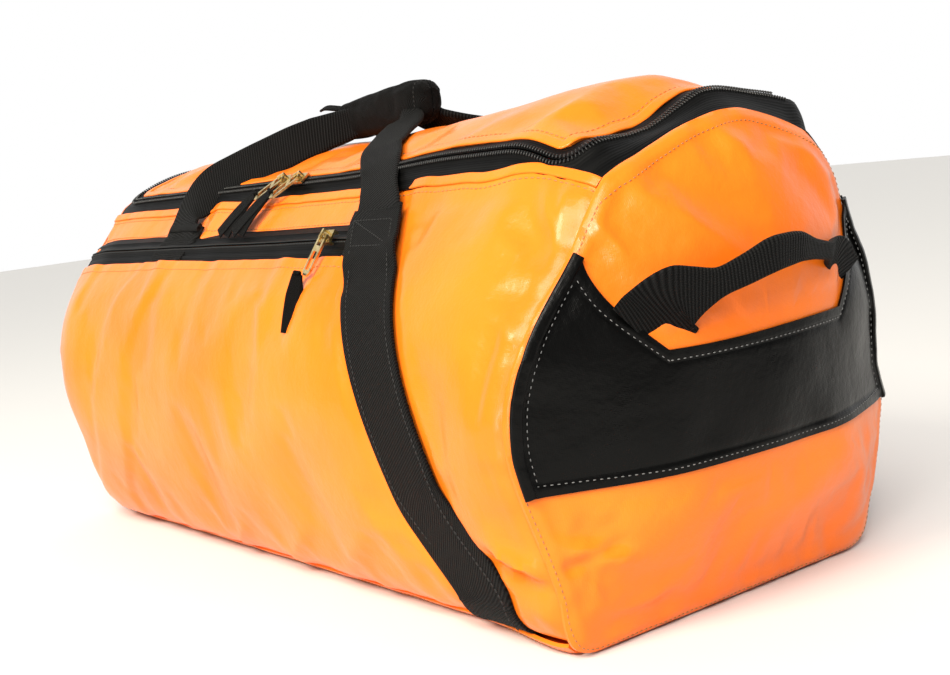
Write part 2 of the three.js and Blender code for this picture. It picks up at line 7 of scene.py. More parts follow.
import bmesh
import bpy
import numpy as np
from mathutils import Matrix, Vector


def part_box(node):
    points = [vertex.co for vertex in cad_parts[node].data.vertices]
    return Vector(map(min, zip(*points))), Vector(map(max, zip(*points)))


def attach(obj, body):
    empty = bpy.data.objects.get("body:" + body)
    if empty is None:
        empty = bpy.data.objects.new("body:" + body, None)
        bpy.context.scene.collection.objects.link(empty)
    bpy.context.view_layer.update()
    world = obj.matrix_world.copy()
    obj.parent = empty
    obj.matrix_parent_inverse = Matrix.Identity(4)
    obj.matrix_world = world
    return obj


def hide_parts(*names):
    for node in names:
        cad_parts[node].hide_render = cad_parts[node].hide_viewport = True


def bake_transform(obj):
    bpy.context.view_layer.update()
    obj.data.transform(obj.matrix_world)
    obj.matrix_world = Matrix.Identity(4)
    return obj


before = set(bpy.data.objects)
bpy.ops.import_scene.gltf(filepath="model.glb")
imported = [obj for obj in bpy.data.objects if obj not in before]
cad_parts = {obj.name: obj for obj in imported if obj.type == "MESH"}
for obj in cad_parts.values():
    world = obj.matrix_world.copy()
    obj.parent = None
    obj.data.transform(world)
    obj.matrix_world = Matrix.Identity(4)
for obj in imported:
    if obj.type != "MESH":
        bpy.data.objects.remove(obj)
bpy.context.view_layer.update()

MM = 0.001


# ---- Sizes taken from the frame ------------------------------------------------------------
def node_box(node):
    """Lowest and highest corner of a CAD node, in millimetres."""
    low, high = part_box(node)
    return np.array(low) / MM, np.array(high) / MM


SEAM_X = node_box("wrap_panel")[1][0]
ZIP_X = node_box("lid_panel")[1][0]  # the lid's ends
ZIP_Y = 77.0
ZIP_Z = 262.0
CROWN_Z = 284.0
POCKET_TOP_Z = 213.0
BAND_TOP_Z = 232.0
ANCHOR_Z = 235.0
LIP_Z = 9.5
GROUND = 6.1  # thickness of the base panel and its padding under the wrap
BASE_HALF = 104.0
SWELL_START = 250.0  # the bag is fullest within this distance of its middle
SWELL_WIDTH = 0.045
SWELL_HEIGHT = 0.015
STRAP_TOP_X = 134.0
STRAP_FOOT_X = 222.0
STRAP_FOOT_Z = 26.0
STRAP_BOW = 10.0
STRAP_SWEEP = 26.0  # the loaded straps splay out this much further at the foot
WEBBING_HALF = 25.0
EDGE_BELOW_ZIP = 13.0  # from the wrap's front edge up to the zip
EDGE_CLIMB = 11.0  # and how much of that gap closes at the right end
DOME = 38.0
DOME_CENTRE_Z = 145.0
DOME_REACH = 140.0  # about the distance from the dome's middle to the seam
INSIDE = np.array([0.0, 0.0, DOME_CENTRE_Z])

# Thicknesses of the sheets.
WRAP_THICK = 1.8
BASE_THICK = 2.2
POCKET_THICK = 1.4
END_THICK = 2.0
PATCH_THICK = 1.3
BAND_THICK = 1.0
TAPE_THICK = 0.9
STOP_THICK = 0.8
STRAP_HALF_THICK = 1.25

# Heavier and finer stitches: pitch, then half length, half width and half height.
PATCH_STITCH = (3.8, 0.9, 0.32, 0.3)
BOX_STITCH = (3.2, 1.2, 0.4, 0.35)
GRIP_STITCH = (3.2, 1.1, 0.4, 0.4)


# ---- Numbers and curves ----------------------------------------------------------------------
def ease(t):
    """A smooth step: 0 up to 0, 1 from 1 on."""
    t = np.clip(t, 0, 1)
    return t * t * (3 - 2 * t)


def near(value, centre, width):
    """1 at centre, falling smoothly to 0 over about a width."""
    return np.exp(-(((value - centre) / width) ** 2))


def unit(v):
    """Vectors scaled to length 1."""
    return v / np.maximum(np.linalg.norm(v, axis=-1, keepdims=True), 1e-9)


def ripple(u, v, seed):
    """Smooth noise from about -1 to 1 over a plane whose cells are one unit across."""
    u, v = np.broadcast_arrays(np.asarray(u, float), np.asarray(v, float))
    iu, iv = np.floor(u).astype(np.int64), np.floor(v).astype(np.int64)
    fu, fv = ease(u - iu), ease(v - iv)

    def corner(a, b):
        n = (a * 374761393 + b * 668265263 + seed * 974711) & 0xFFFFFFFF
        n = ((n ^ (n >> 13)) * 1274126177) & 0xFFFFFFFF
        return ((n ^ (n >> 16)) & 0xFFFF) / 32767.5 - 1

    low = corner(iu, iv) * (1 - fu) + corner(iu + 1, iv) * fu
    high = corner(iu, iv + 1) * (1 - fu) + corner(iu + 1, iv + 1) * fu
    return low * (1 - fv) + high * fv


def crease(u, v, start, end, width, height):
    """A soft ridge along a segment, or a groove if its height is negative, fading at both ends."""
    (u0, v0), (u1, v1) = start, end
    du, dv = u1 - u0, v1 - v0
    t = ((u - u0) * du + (v - v0) * dv) / (du * du + dv * dv)
    held = np.clip(t, 0, 1)
    apart = np.hypot(u - u0 - held * du, v - v0 - held * dv)
    return height * np.exp(-((apart / width) ** 1.6)) * (0.35 + 0.65 * np.sin(np.pi * held))


def creases(u, v, folds):
    """Several creases together, each given as its start, end, width and height."""
    total = 0
    for fold in folds:
        total = total + crease(u, v, *fold)
    return total


def bezier(points, count):
    """A Bezier curve through its first and last control points, in count steps."""
    t = np.linspace(0, 1, count + 1)[:, None]
    layers = [np.array(p, float) for p in points]
    while len(layers) > 1:
        layers = [a * (1 - t) + b * t for a, b in zip(layers, layers[1:])]
    return layers[0]


def travelled(line):
    """Distance along a line at each of its points."""
    return np.concatenate([[0], np.cumsum(np.linalg.norm(np.diff(line, axis=0), axis=1))])


def resample(points, step):
    """Points evenly spaced along a line, about a step apart, with both ends kept."""
    length = travelled(points)
    marks = np.linspace(0, length[-1], max(2, int(round(length[-1] / step)) + 1))
    return np.stack([np.interp(marks, length, points[:, k]) for k in range(points.shape[1])], -1)


def spaced(start, end, step):
    """Evenly spaced values from start to end, about a step apart."""
    return resample(np.array([[start], [end]], float), step)[:, 0]


def smooth_line(points, step, rounds=3):
    """A line through given points, rounded off and evenly spaced."""
    line = resample(np.array(points, float), step)
    for _ in range(rounds * 6):
        line[1:-1] = (line[:-2] + 2 * line[1:-1] + line[2:]) / 4
    return resample(line, step)


# ---- The bag's skin ----------------------------------------------------------------------------
def half_outline():
    """Half of the end seam's outline, from the middle of the base round the back to the crown."""
    parts = [
        bezier([(0, GROUND), (BASE_HALF, GROUND)], 30),
        bezier([(BASE_HALF, GROUND), (126, GROUND), (131, STRAP_FOOT_Z)], 20),
        bezier([(131, STRAP_FOOT_Z), (142, 80), (160, 148), (128, 196)], 50),
        bezier([(128, 196), (118, 211), (96, 240), (ZIP_Y, ZIP_Z)], 30),
        bezier([(ZIP_Y, ZIP_Z), (52, 278), (26, CROWN_Z), (0, CROWN_Z)], 30),
    ]
    line = np.concatenate([parts[0]] + [p[1:] for p in parts[1:]])
    return resample(line, 1.0)


HALF = half_outline()
GIRTH = travelled(HALF)
ROUND = GIRTH[-1]  # half of the whole girth
ALONG = unit(np.gradient(HALF, axis=0))
OUTWARD = np.stack([ALONG[:, 1], -ALONG[:, 0]], -1)
OUTWARD[0], OUTWARD[-1] = (0, -1), (0, 1)
SIDE = slice(int(np.argmax(HALF[:, 1] > GROUND + 0.01)), None)  # the outline above its flat foot


def girth_at(height):
    """The girth at which the side reaches a height on the end seam's outline."""
    return float(np.interp(height, HALF[SIDE, 1], GIRTH[SIDE]))


def half_width(z):
    """Half width of the end seam's outline at a height."""
    return np.interp(z, HALF[SIDE, 1], HALF[SIDE, 0])


ZIP_S = girth_at(ZIP_Z)
ANCHOR_S = girth_at(ANCHOR_Z)
POCKET_TOP_S = girth_at(POCKET_TOP_Z)
BAND_TOP_S = girth_at(BAND_TOP_Z)
FOOT_S = girth_at(STRAP_FOOT_Z)
LIP_S = girth_at(LIP_Z)
FRONT_S = 2 * ROUND - ZIP_S  # the lid's front edge, counted over the crown


def swell(x):
    """How full the bag is at a station: 1 over most of its length, 0 at the end seams."""
    beyond = np.maximum(0, np.abs(x) - SWELL_START) / (SEAM_X - SWELL_START)
    return 1 - np.minimum(1, beyond) ** 2


def profile(places, values, spread=6):
    """A smooth curve through a few given values, for each millimetre from -140 to 320."""
    marks = np.arange(-140.0, 321.0)
    table = np.interp(marks, places, values)
    kernel = np.hanning(2 * spread + 3)[1:-1]
    padded = np.pad(table, spread, mode="edge")
    return marks, np.convolve(padded, kernel / kernel.sum(), mode="valid")


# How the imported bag's right end has settled, across the bag (y) or up it (z).
CROWN_RISE = profile([-100, -84, -72, -50, 0, 30, 60, 90], [1, 4.5, 7, 7, 10, 13, 12, 9])
EDGE_RISE = profile(
    [-80, -70, -54, -39, -23, -10, 7, 20, 37, 58, 81, 100],
    [3, 0, -7, -12, -13, -9, -1, 6, 10, 13, 18, 20],
)
END_RISE = profile([-100, -73, -51, -35, -18, -2, 15, 32, 45], [-8, -11, -14, -13, -10, -7, -3, 0, 0])
BACK_OUT = profile(
    [0, 22, 50, 89, 104, 113, 156, 198, 209, 237, 254],
    [-12, -12, -7, -3, -10, -13, -9, -4, 0, 13, 14],
    spread=4,
)
FRONT_OUT = profile([0, 10, 33, 56, 90, 130, 206, 221, 254], [12, 10, 5, 4, 2, 0, -4, -5, 0], spread=4)


def settled(x, y, z):
    """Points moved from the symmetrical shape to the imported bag's leaning one."""
    height = ease((z - 250) / 12) * ease((y + 84) / 26)
    over = ease((z - 236) / 16)
    ending = ease((x - 235) / 75) * (1 - height) + ease((x - 288) / 22) * height
    edge = ease((x - 245) / 42) * (1 - ending)
    middle = ease((x - 60) / 130) * (1 - ease((x - 245) / 42))
    swollen = 1 + 0.5 * ease((x - 170) / 70) * ease((y + 60) / 50)
    rise = over * (middle * swollen * np.interp(y, *CROWN_RISE) + edge * np.interp(y, *EDGE_RISE))
    rise = rise + ending * ease((z - 130) / 130) * np.interp(y, *END_RISE)
    out = np.where(y > 0, np.interp(z, *BACK_OUT), -np.interp(z, *FRONT_OUT))
    out = out * ease((x - 215) / 95) * ease((np.abs(y) - 30) / 60)
    out = out + 11 * edge * over * ease((y - 52) / 30)
    left = -5 * ease((-x - 190) / 100) * near(z, 130, 85) * ease((-y - 60) / 50)
    belly = ease((x - 215) / 85) * near(z, 125, 58) * ease((-y - 70) / 70)
    return np.stack([x - 11 * belly, y + out + left - 9 * belly, z + rise], -1)


def skin(x, s, lift=0.0):
    """Points on the skin at stations x and girths s, raised along the outward direction."""
    x, s, lift = np.broadcast_arrays(*(np.asarray(a, float) for a in (x, s, lift)))
    girth = np.mod(s, 2 * ROUND)
    front = girth > ROUND
    girth = np.where(front, 2 * ROUND - girth, girth)
    base_y, base_z = (np.interp(girth, GIRTH, HALF[:, k]) for k in (0, 1))
    out_y, out_z = (np.interp(girth, GIRTH, OUTWARD[:, k]) for k in (0, 1))
    y = base_y * (1 + SWELL_WIDTH * swell(x))
    z = GROUND + (base_z - GROUND) * (1 + SWELL_HEIGHT * swell(x))
    y, z = y + out_y * lift, z + out_z * lift
    y = np.where(front, -y, y)
    return settled(x, y, z)


def outward(x, s, at=0.0):
    """The outward direction over the skin, taken at a lift."""
    return skin(x, s, at + 1.0) - skin(x, s, at)


# ---- The end panels' dome ----------------------------------------------------------------------
RIM = np.concatenate([HALF, HALF[-2:0:-1] * [-1, 1]])  # the whole outline, going round once
RIM_ANGLE = np.unwrap(np.arctan2(RIM[:, 1] - DOME_CENTRE_Z, RIM[:, 0]))
RIM_REACH = np.hypot(RIM[:, 1] - DOME_CENTRE_Z, RIM[:, 0])


def rim_share(y, z):
    """How far out a point of an end panel is: 0 in its middle, 1 at the seam."""
    angle = np.arctan2(z - DOME_CENTRE_Z, y)
    first = RIM_ANGLE[0]
    angle = first + np.mod(angle - first, 2 * np.pi)
    reach = np.interp(angle, RIM_ANGLE, RIM_REACH)
    return np.hypot(y, z - DOME_CENTRE_Z) / reach


def on_end(end, y, z, lift=0.0):
    """Points over an end panel's outer face; end is 1 for the right and -1 for the left."""
    share = np.minimum(1, rim_share(y, z))
    height = DOME * (1 - share**2.4) + end_relief(end, y, z, share)
    tuck = 4.5 * ease((share - 0.9) / 0.1) * ease((30 - z) / 20)
    x, y, z = np.broadcast_arrays(end * (SEAM_X + 1.5 + height + lift), y, z - tuck)
    return settled(x, y, z)


# Creases of the end panels: start and end as (y, z), then width and height.
RIGHT_END_FOLDS = [
    ((-66, 262), (-10, 198), 10, 4.5),
    ((-40, 262), (6, 226), 9, -2.4),
    ((2, 276), (22, 252), 9, 4.0),
    ((-98, 246), (-86, 214), 5, 3.2),
    ((56, 270), (84, 222), 10, 2.4),
    ((-128, 62), (-92, 48), 5, 4.4),
    ((-136, 50), (-100, 60), 4, -4.0),
    ((-118, 16), (-10, 62), 17, -5.0),
    ((-30, 22), (70, 84), 20, 3.4),
]
LEFT_END_FOLDS = [
    ((70, 250), (12, 204), 11, 3.6),
    ((110, 30), (20, 66), 16, -4.0),
    ((-118, 60), (-84, 48), 7, 2.4),
]


def end_relief(end, y, z, share):
    """Puckers along the seam, broad slack and the few folds of an end panel."""
    arc = np.arctan2(z - DOME_CENTRE_Z, y) * DOME_REACH
    inward = (1 - share) * DOME_REACH
    edge = np.exp(-inward / 16) * ease(inward / 3)
    pucker = 1.1 * ripple(arc / 12, inward / 60 + 5, 3) + 0.5 * ripple(arc / 6, inward / 40, 4)
    pucker = pucker * (1 - 0.6 * ease((z - 80) / 14) * ease((226 - z) / 12))
    slack = 1.8 * ripple(y / 55 + 3 * end, z / 60, 5) + 0.7 * ripple(y / 24, z / 26 + 2 * end, 6)
    slack = slack * ease(inward / 30)
    hem = 1.4 * near(inward, 4.5, 3.2)
    folds = creases(y, z, RIGHT_END_FOLDS if end > 0 else LEFT_END_FOLDS)
    return edge * pucker + slack + hem + folds * ease(inward / 9)


# ---- Meshes -----------------------------------------------------------------------------------
def make_piece(name, points, faces, uv, material, sharp=50):
    """A mesh object from points in millimetres, with its faces turned outwards."""
    mesh = bpy.data.meshes.new(name)
    mesh.from_pydata((np.asarray(points) * MM).tolist(), [], [list(map(int, f)) for f in faces])
    layer = mesh.uv_layers.new(name="UVMap")
    corners = np.zeros(len(mesh.loops), np.int64)
    mesh.loops.foreach_get("vertex_index", corners)
    layer.data.foreach_set("uv", (np.asarray(uv) * MM)[corners].astype(np.float32).ravel())
    build = bmesh.new()
    build.from_mesh(mesh)
    bmesh.ops.recalc_face_normals(build, faces=build.faces)
    build.to_mesh(mesh)
    build.free()
    mesh.polygons.foreach_set("use_smooth", np.ones(len(mesh.polygons), bool))
    mesh.set_sharp_from_angle(angle=math.radians(sharp))
    mesh.materials.append(material)
    piece = bpy.data.objects.new(name, mesh)
    bpy.context.scene.collection.objects.link(piece)
    return piece


def grid_faces(rows, columns, start=0, wrap=False):
    """Quads between neighbouring points of a grid; wrap joins the last column to the first."""
    i = np.arange(rows - 1)[:, None]
    j = np.arange(columns if wrap else columns - 1)[None, :]
    k = (j + 1) % columns
    corners = [i * columns + j, (i + 1) * columns + j, (i + 1) * columns + k, i * columns + k]
    return np.stack([np.broadcast_to(c, (rows - 1, j.shape[1])).ravel() for c in corners], -1) + start


def outward_normals(grid, inside):
    """Normals of a grid of points, facing away from a point inside the bag."""
    du = np.gradient(grid, axis=0)
    dv = np.gradient(grid, axis=1)
    normal = unit(np.cross(du, dv))
    middle = grid[grid.shape[0] // 2, grid.shape[1] // 2]
    facing = normal[grid.shape[0] // 2, grid.shape[1] // 2] @ (middle - inside)
    return normal if facing > 0 else -normal


def fabric(name, grid, thickness, material, uv):
    """A closed panel of fabric: its outer face is the grid, and its inner face lies inwards."""
    rows, columns = grid.shape[:2]
    inner = grid - outward_normals(grid, INSIDE) * thickness
    count = rows * columns
    edge = np.concatenate([
        np.arange(columns),
        np.arange(1, rows) * columns + columns - 1,
        (rows - 1) * columns + np.arange(columns - 2, -1, -1),
        np.arange(rows - 2, 0, -1) * columns,
    ])
    after = np.roll(edge, -1)
    side = np.stack([edge, after, after + count, edge + count], -1)
    faces = np.concatenate([grid_faces(rows, columns), grid_faces(rows, columns, count), side])
    points = np.concatenate([grid.reshape(-1, 3), inner.reshape(-1, 3)])
    uv = np.asarray(uv, float).reshape(-1, 2)
    return make_piece(name, points, faces, np.concatenate([uv, uv]), material)


def stadium(flats, turns):
    """Section of a flat band: each point's share of the flat part, and of the rounded edge."""
    across = np.linspace(-1, 1, flats)
    top = [(a, 0.0, 1.0) for a in across]
    low = [(a, 0.0, -1.0) for a in across[::-1]]
    angles = np.linspace(math.pi / 2, -math.pi / 2, turns + 2)[1:-1]
    right = [(1.0, math.cos(a), math.sin(a)) for a in angles]
    left = [(-1.0, -math.cos(a), -math.sin(a)) for a in angles]
    return np.array(top + right + low + left)


def band(name, line, across, half_wide, half_thick, material, flats=8, turns=4):
    """A flat band along a line. across is its width direction at each point of the line."""
    line = np.asarray(line, float)
    count = len(line)
    along = unit(np.gradient(line, axis=0))
    across = np.broadcast_to(np.asarray(across, float), line.shape)
    across = unit(across - np.sum(across * along, -1, keepdims=True) * along)
    up = np.cross(across, along)
    half_wide = np.broadcast_to(np.asarray(half_wide, float), (count,))
    half_thick = np.broadcast_to(np.asarray(half_thick, float), (count,))
    section = stadium(flats, turns)
    a = section[:, 0] * (half_wide - half_thick)[:, None] + section[:, 1] * half_thick[:, None]
    b = section[:, 2] * half_thick[:, None]
    grid = line[:, None] + across[:, None] * a[..., None] + up[:, None] * b[..., None]
    uv = np.stack([a, np.broadcast_to(travelled(line)[:, None], a.shape)], -1)
    sides = len(section)
    faces = [tuple(f) for f in grid_faces(count, sides, wrap=True)]
    faces.append(tuple(range(sides)))
    faces.append(tuple(range((count - 1) * sides, count * sides)))
    return make_piece(name, grid.reshape(-1, 3), faces, uv.reshape(-1, 2), material)


def bead_shape():
    """A small rounded lozenge, one unit long, wide and high on each side of its middle."""
    rings, spokes = 3, 6
    points = [(-1.0, 0.0, 0.0)]
    for i in range(1, rings + 1):
        turn = math.pi * i / (rings + 1)
        reach = math.sin(turn) ** 0.6
        for k in range(spokes):
            angle = 2 * math.pi * k / spokes
            points.append((-math.cos(turn), reach * math.cos(angle), reach * math.sin(angle)))
    points.append((1.0, 0.0, 0.0))
    faces = [(0, 1 + (k + 1) % spokes, 1 + k) for k in range(spokes)]
    for i in range(rings - 1):
        for k in range(spokes):
            a, b = 1 + i * spokes + k, 1 + i * spokes + (k + 1) % spokes
            faces.append((a, b, b + spokes, a + spokes))
    last = 1 + (rings - 1) * spokes
    faces += [(last + k, last + (k + 1) % spokes, len(points) - 1) for k in range(spokes)]
    return np.array(points), faces


def beads(name, places, along, up, size, material):
    """Many small lozenges in one piece, one at each place, size = half length, width, height."""
    along = unit(np.asarray(along, float))
    up = np.asarray(up, float)
    up = unit(up - np.sum(up * along, -1, keepdims=True) * along)
    across = np.cross(up, along)
    shape, faces = bead_shape()
    length, width, height = size
    points = (
        np.asarray(places)[:, None]
        + along[:, None] * (shape[:, 0:1] * length)[None]
        + across[:, None] * (shape[:, 1:2] * width)[None]
        + up[:, None] * (shape[:, 2:3] * height)[None]
    )
    count = len(shape)
    every = [tuple(i + n * count for i in f) for n in range(len(points)) for f in faces]
    uv = np.tile(shape[:, :2], (len(points), 1))
    return make_piece(name, points.reshape(-1, 3), every, uv, material, sharp=80)


def stitches(name, line, up, body, material, pitch=4.2, length=1.35, width=0.42, height=0.42):
    """A row of stitches along a line on a surface whose outward direction is up. length, width
    and height are half sizes."""
    travel = travelled(line)
    marks = np.arange(pitch / 2, travel[-1], pitch)
    places, normal = (
        np.stack([np.interp(marks, travel, row[:, k]) for k in range(3)], -1) for row in (line, up)
    )
    along = np.gradient(places, axis=0)
    piece = beads(name, places, along, normal, (length, width, height), material)
    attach(piece, body)


def fit_out(piece, body, slot_name, *nodes):
    """Carry a piece on its body, in place of the CAD nodes it replaces. Its slot name is not used."""
    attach(piece, body)
    if nodes:
        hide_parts(*nodes)


def join_pieces(name, pieces):
    """Merge several meshes that ride together into one piece."""
    with bpy.context.temp_override(
        active_object=pieces[0], object=pieces[0], selected_editable_objects=pieces
    ):
        bpy.ops.object.join()
    pieces[0].name = name
    pieces[0].data.name = name
    return pieces[0]


# ---- Cloth ---------------------------------------------------------------------------------------
CLOTH_STEP = 3  # every third row and column is simulated
CLOTH_FRAMES = 20
CLOTH_SHARE = 0.8  # how much of the simulated movement is kept
MOST_SLIP = 2.0  # and the most that a point moves along the panel


def spread_out(values, marks, count, axis, wrap):
    """Values known at some rows or columns, read off smoothly at all of them."""
    values = np.moveaxis(values, axis, 0)
    if wrap:
        marks = np.append(marks, count)
        values = np.concatenate([values, values[:1]])
    places = np.arange(count)
    k = np.clip(np.searchsorted(marks, places, side="right") - 1, 0, len(marks) - 2)
    share = ease((places - marks[k]) / (marks[k + 1] - marks[k]))
    share = 0.5 * share + 0.5 * (places - marks[k]) / (marks[k + 1] - marks[k])
    share = share.reshape((-1,) + (1,) * (values.ndim - 1))
    return np.moveaxis(values[k] * (1 - share) + values[k + 1] * share, 0, axis)


def let_settle(grid, hold, inside=INSIDE, push=2.5, slack=0.013, cap=6.0, sink=2.0, wrap=False):
    """Let a panel find its own folds by cloth simulation: hold is 1 where it is sewn or pressed
    down. push is the stuffing's pressure, slack the spare cloth, and no point moves further
    than cap outwards or sink inwards. wrap says that the grid's columns close into a ring."""
    rows, columns = grid.shape[:2]
    row_marks = np.unique(np.append(np.arange(0, rows, CLOTH_STEP), rows - 1))
    column_marks = np.arange(0, columns, CLOTH_STEP)
    if not wrap:
        column_marks = np.unique(np.append(column_marks, columns - 1))
    coarse = grid[np.ix_(row_marks, column_marks)]
    held = np.broadcast_to(hold, (rows, columns))[np.ix_(row_marks, column_marks)].ravel()
    mesh = bpy.data.meshes.new("settling")
    faces = grid_faces(len(row_marks), len(column_marks), wrap=wrap)
    mesh.from_pydata((coarse.reshape(-1, 3) * MM).tolist(), [], faces.tolist())
    mesh.update()
    face = mesh.polygons[len(mesh.polygons) // 2]
    if face.normal.dot(Vector(np.array(face.center) - inside * MM)) < 0:
        mesh.flip_normals()
    sheet = bpy.data.objects.new("settling", mesh)
    bpy.context.scene.collection.objects.link(sheet)
    group = sheet.vertex_groups.new(name="held")
    for index, weight in enumerate(held):
        group.add([index], float(weight), "REPLACE")
    cloth = sheet.modifiers.new("settling", "CLOTH")
    cloth.point_cache.frame_start, cloth.point_cache.frame_end = 1, CLOTH_FRAMES
    settings = cloth.settings
    settings.quality = 6
    settings.mass = 0.2
    settings.tension_stiffness = 20
    settings.compression_stiffness = 12
    settings.shear_stiffness = 8
    settings.bending_stiffness = 2.5
    settings.air_damping = 3
    settings.use_pressure = True
    settings.uniform_pressure_force = push
    settings.shrink_min = -slack
    settings.vertex_group_mass = "held"
    settings.effector_weights.gravity = 0
    for number in range(1, CLOTH_FRAMES + 1):
        bpy.context.scene.frame_set(number)
    result = sheet.evaluated_get(bpy.context.evaluated_depsgraph_get())
    places = np.empty(len(mesh.vertices) * 3)
    result.data.vertices.foreach_get("co", places)
    move = places.reshape(coarse.shape) / MM - coarse
    bpy.data.objects.remove(sheet)
    bpy.data.meshes.remove(mesh)
    bpy.context.scene.frame_set(1)
    move = spread_out(move, row_marks, rows, 0, False)
    move = spread_out(move, column_marks, columns, 1, wrap)
    normal = outward_normals(grid, inside)
    out = np.sum(move * normal, -1, keepdims=True)
    along = move - out * normal
    slip = np.linalg.norm(along, axis=-1, keepdims=True)
    along = along * np.minimum(1, MOST_SLIP / np.maximum(slip, 1e-6))
    loose = 1 - np.broadcast_to(hold, (rows, columns))[..., None]
    return grid + CLOTH_SHARE * (np.clip(out, -sink, cap) * normal + along) * loose


# ---- Materials -----------------------------------------------------------------------------------
def srgb(hex_colour):
    """A linear colour from a six-digit sRGB one."""
    parts = [int(hex_colour[i:i + 2], 16) / 255 for i in (0, 2, 4)]
    return [p / 12.92 if p <= 0.04045 else ((p + 0.055) / 1.055) ** 2.4 for p in parts] + [1.0]


class Shader:
    """A node material being built: a Principled shader with helpers for its inputs."""

    def __init__(self, name):
        self.material = bpy.data.materials.new(name)
        self.material.use_nodes = True
        self.nodes = self.material.node_tree.nodes
        self.links = self.material.node_tree.links
        self.bsdf = self.nodes["Principled BSDF"]

    def add(self, kind, **values):
        node = self.nodes.new(kind)
        for key, value in values.items():
            if key in node.inputs:
                node.inputs[key].default_value = value
            else:
                setattr(node, key, value)
        return node

    def join(self, source, target):
        self.links.new(source, target)

    def coordinates(self, kind, scale):
        """Texture coordinates in metres, scaled: kind is Object or UV."""
        place = self.add("ShaderNodeTexCoord")
        mapping = self.add("ShaderNodeMapping")
        mapping.inputs["Scale"].default_value = scale
        self.join(place.outputs[kind], mapping.inputs["Vector"])
        return mapping.outputs["Vector"]

    def noise(self, vector, scale, detail=3.0, rough=0.5):
        node = self.add("ShaderNodeTexNoise", Scale=scale, Detail=detail, Roughness=rough)
        self.join(vector, node.inputs["Vector"])
        return node.outputs["Fac"]

    def ramp(self, factor, stops):
        node = self.add("ShaderNodeValToRGB")
        elements = node.color_ramp.elements
        while len(elements) < len(stops):
            elements.new(0.5)
        for element, (place, colour) in zip(elements, stops):
            element.position = place
            element.color = colour
        self.join(factor, node.inputs["Fac"])
        return node.outputs["Color"]

    def scale_to(self, factor, low, high):
        node = self.add("ShaderNodeMapRange")
        node.inputs["To Min"].default_value = low
        node.inputs["To Max"].default_value = high
        self.join(factor, node.inputs["Value"])
        return node.outputs["Result"]

    def math(self, operation, first, second=None):
        node = self.add("ShaderNodeMath", operation=operation)
        for socket, value in zip(node.inputs, (first, second)):
            if isinstance(value, (int, float)):
                socket.default_value = value
            elif value is not None:
                self.join(value, socket)
        return node.outputs["Value"]

    def bump(self, height, distance, under=None):
        node = self.add("ShaderNodeBump", Strength=1.0, Distance=distance)
        self.join(height, node.inputs["Height"])
        if under is not None:
            self.join(under, node.inputs["Normal"])
        return node.outputs["Normal"]

    def set(self, **values):
        for key, value in values.items():
            socket = self.bsdf.inputs[key.replace("_", " ")]
            if isinstance(value, bpy.types.NodeSocket):
                self.join(value, socket)
            else:
                socket.default_value = value


def grey(value):
    """A linear grey."""
    return (value, value, value, 1.0)


def coated_fabric(name, deep, plain, pale, roughness, coat, shine):
    """PVC-coated polyester: a faint woven grid under a smooth coat, with rub marks."""
    shader = Shader(name)
    flat = shader.coordinates("UV", (1, 1, 1))
    solid = shader.coordinates("Object", (1, 1, 1))
    cloud = shader.noise(solid, 7.0, 4.0, 0.55)
    colour = shader.ramp(cloud, [(0.30, deep), (0.52, plain), (0.76, pale)])
    warp = shader.add("ShaderNodeTexWave", bands_direction="X", Scale=320.0)
    weft = shader.add("ShaderNodeTexWave", bands_direction="Y", Scale=320.0)
    for wave in (warp, weft):
        shader.join(flat, wave.inputs["Vector"])
    weave = shader.math("MULTIPLY", warp.outputs["Fac"], weft.outputs["Fac"])
    grain = shader.noise(solid, 900.0, 2.0)
    crinkle = shader.noise(solid, 38.0, 5.0, 0.62)
    normal = shader.bump(weave, 0.000025)
    normal = shader.bump(grain, 0.00004, under=normal)
    normal = shader.bump(crinkle, 0.0011, under=normal)
    rubbed = shader.noise(solid, 26.0, 6.0, 0.7)
    gloss = shader.scale_to(rubbed, roughness * 0.78, roughness * 1.3)
    shader.set(Base_Color=colour, Roughness=gloss, Normal=normal)
    shader.set(Coat_Weight=coat, Coat_Roughness=0.15, Specular_IOR_Level=shine)
    return shader.material


def ribbed_webbing(name, pitch, slant, colour, pale):
    """Woven strapping: slanting ribs along its length, fine yarns across and a dull sheen."""
    shader = Shader(name)
    flat = shader.coordinates("UV", (1, 1, 1))
    turned = shader.add("ShaderNodeMapping")
    turned.inputs["Rotation"].default_value = (0, 0, slant)
    shader.join(flat, turned.inputs["Vector"])
    turns = math.pi / (10 * pitch * MM)  # a wave texture repeats every pi / (10 * scale)
    ribs = shader.add("ShaderNodeTexWave", bands_direction="Y", Scale=turns)
    ribs.inputs["Distortion"].default_value = 0.35
    ribs.inputs["Detail Scale"].default_value = 6.0
    shader.join(turned.outputs["Vector"], ribs.inputs["Vector"])
    yarns = shader.add("ShaderNodeTexWave", bands_direction="X", Scale=turns * 1.6)
    shader.join(flat, yarns.inputs["Vector"])
    fuzz = shader.noise(flat, 1500.0, 3.0)
    normal = shader.bump(ribs.outputs["Fac"], 0.0006)
    normal = shader.bump(yarns.outputs["Fac"], 0.00022, under=normal)
    normal = shader.bump(fuzz, 0.00015, under=normal)
    mixed = shader.math("MULTIPLY", ribs.outputs["Fac"], shader.scale_to(fuzz, 0.55, 1.1))
    tint = shader.ramp(mixed, [(0.05, colour), (0.95, pale)])
    shader.set(Base_Color=tint, Roughness=0.68, Normal=normal)
    shader.set(Sheen_Weight=0.02, Sheen_Roughness=0.4, Specular_IOR_Level=0.08)
    return shader.material


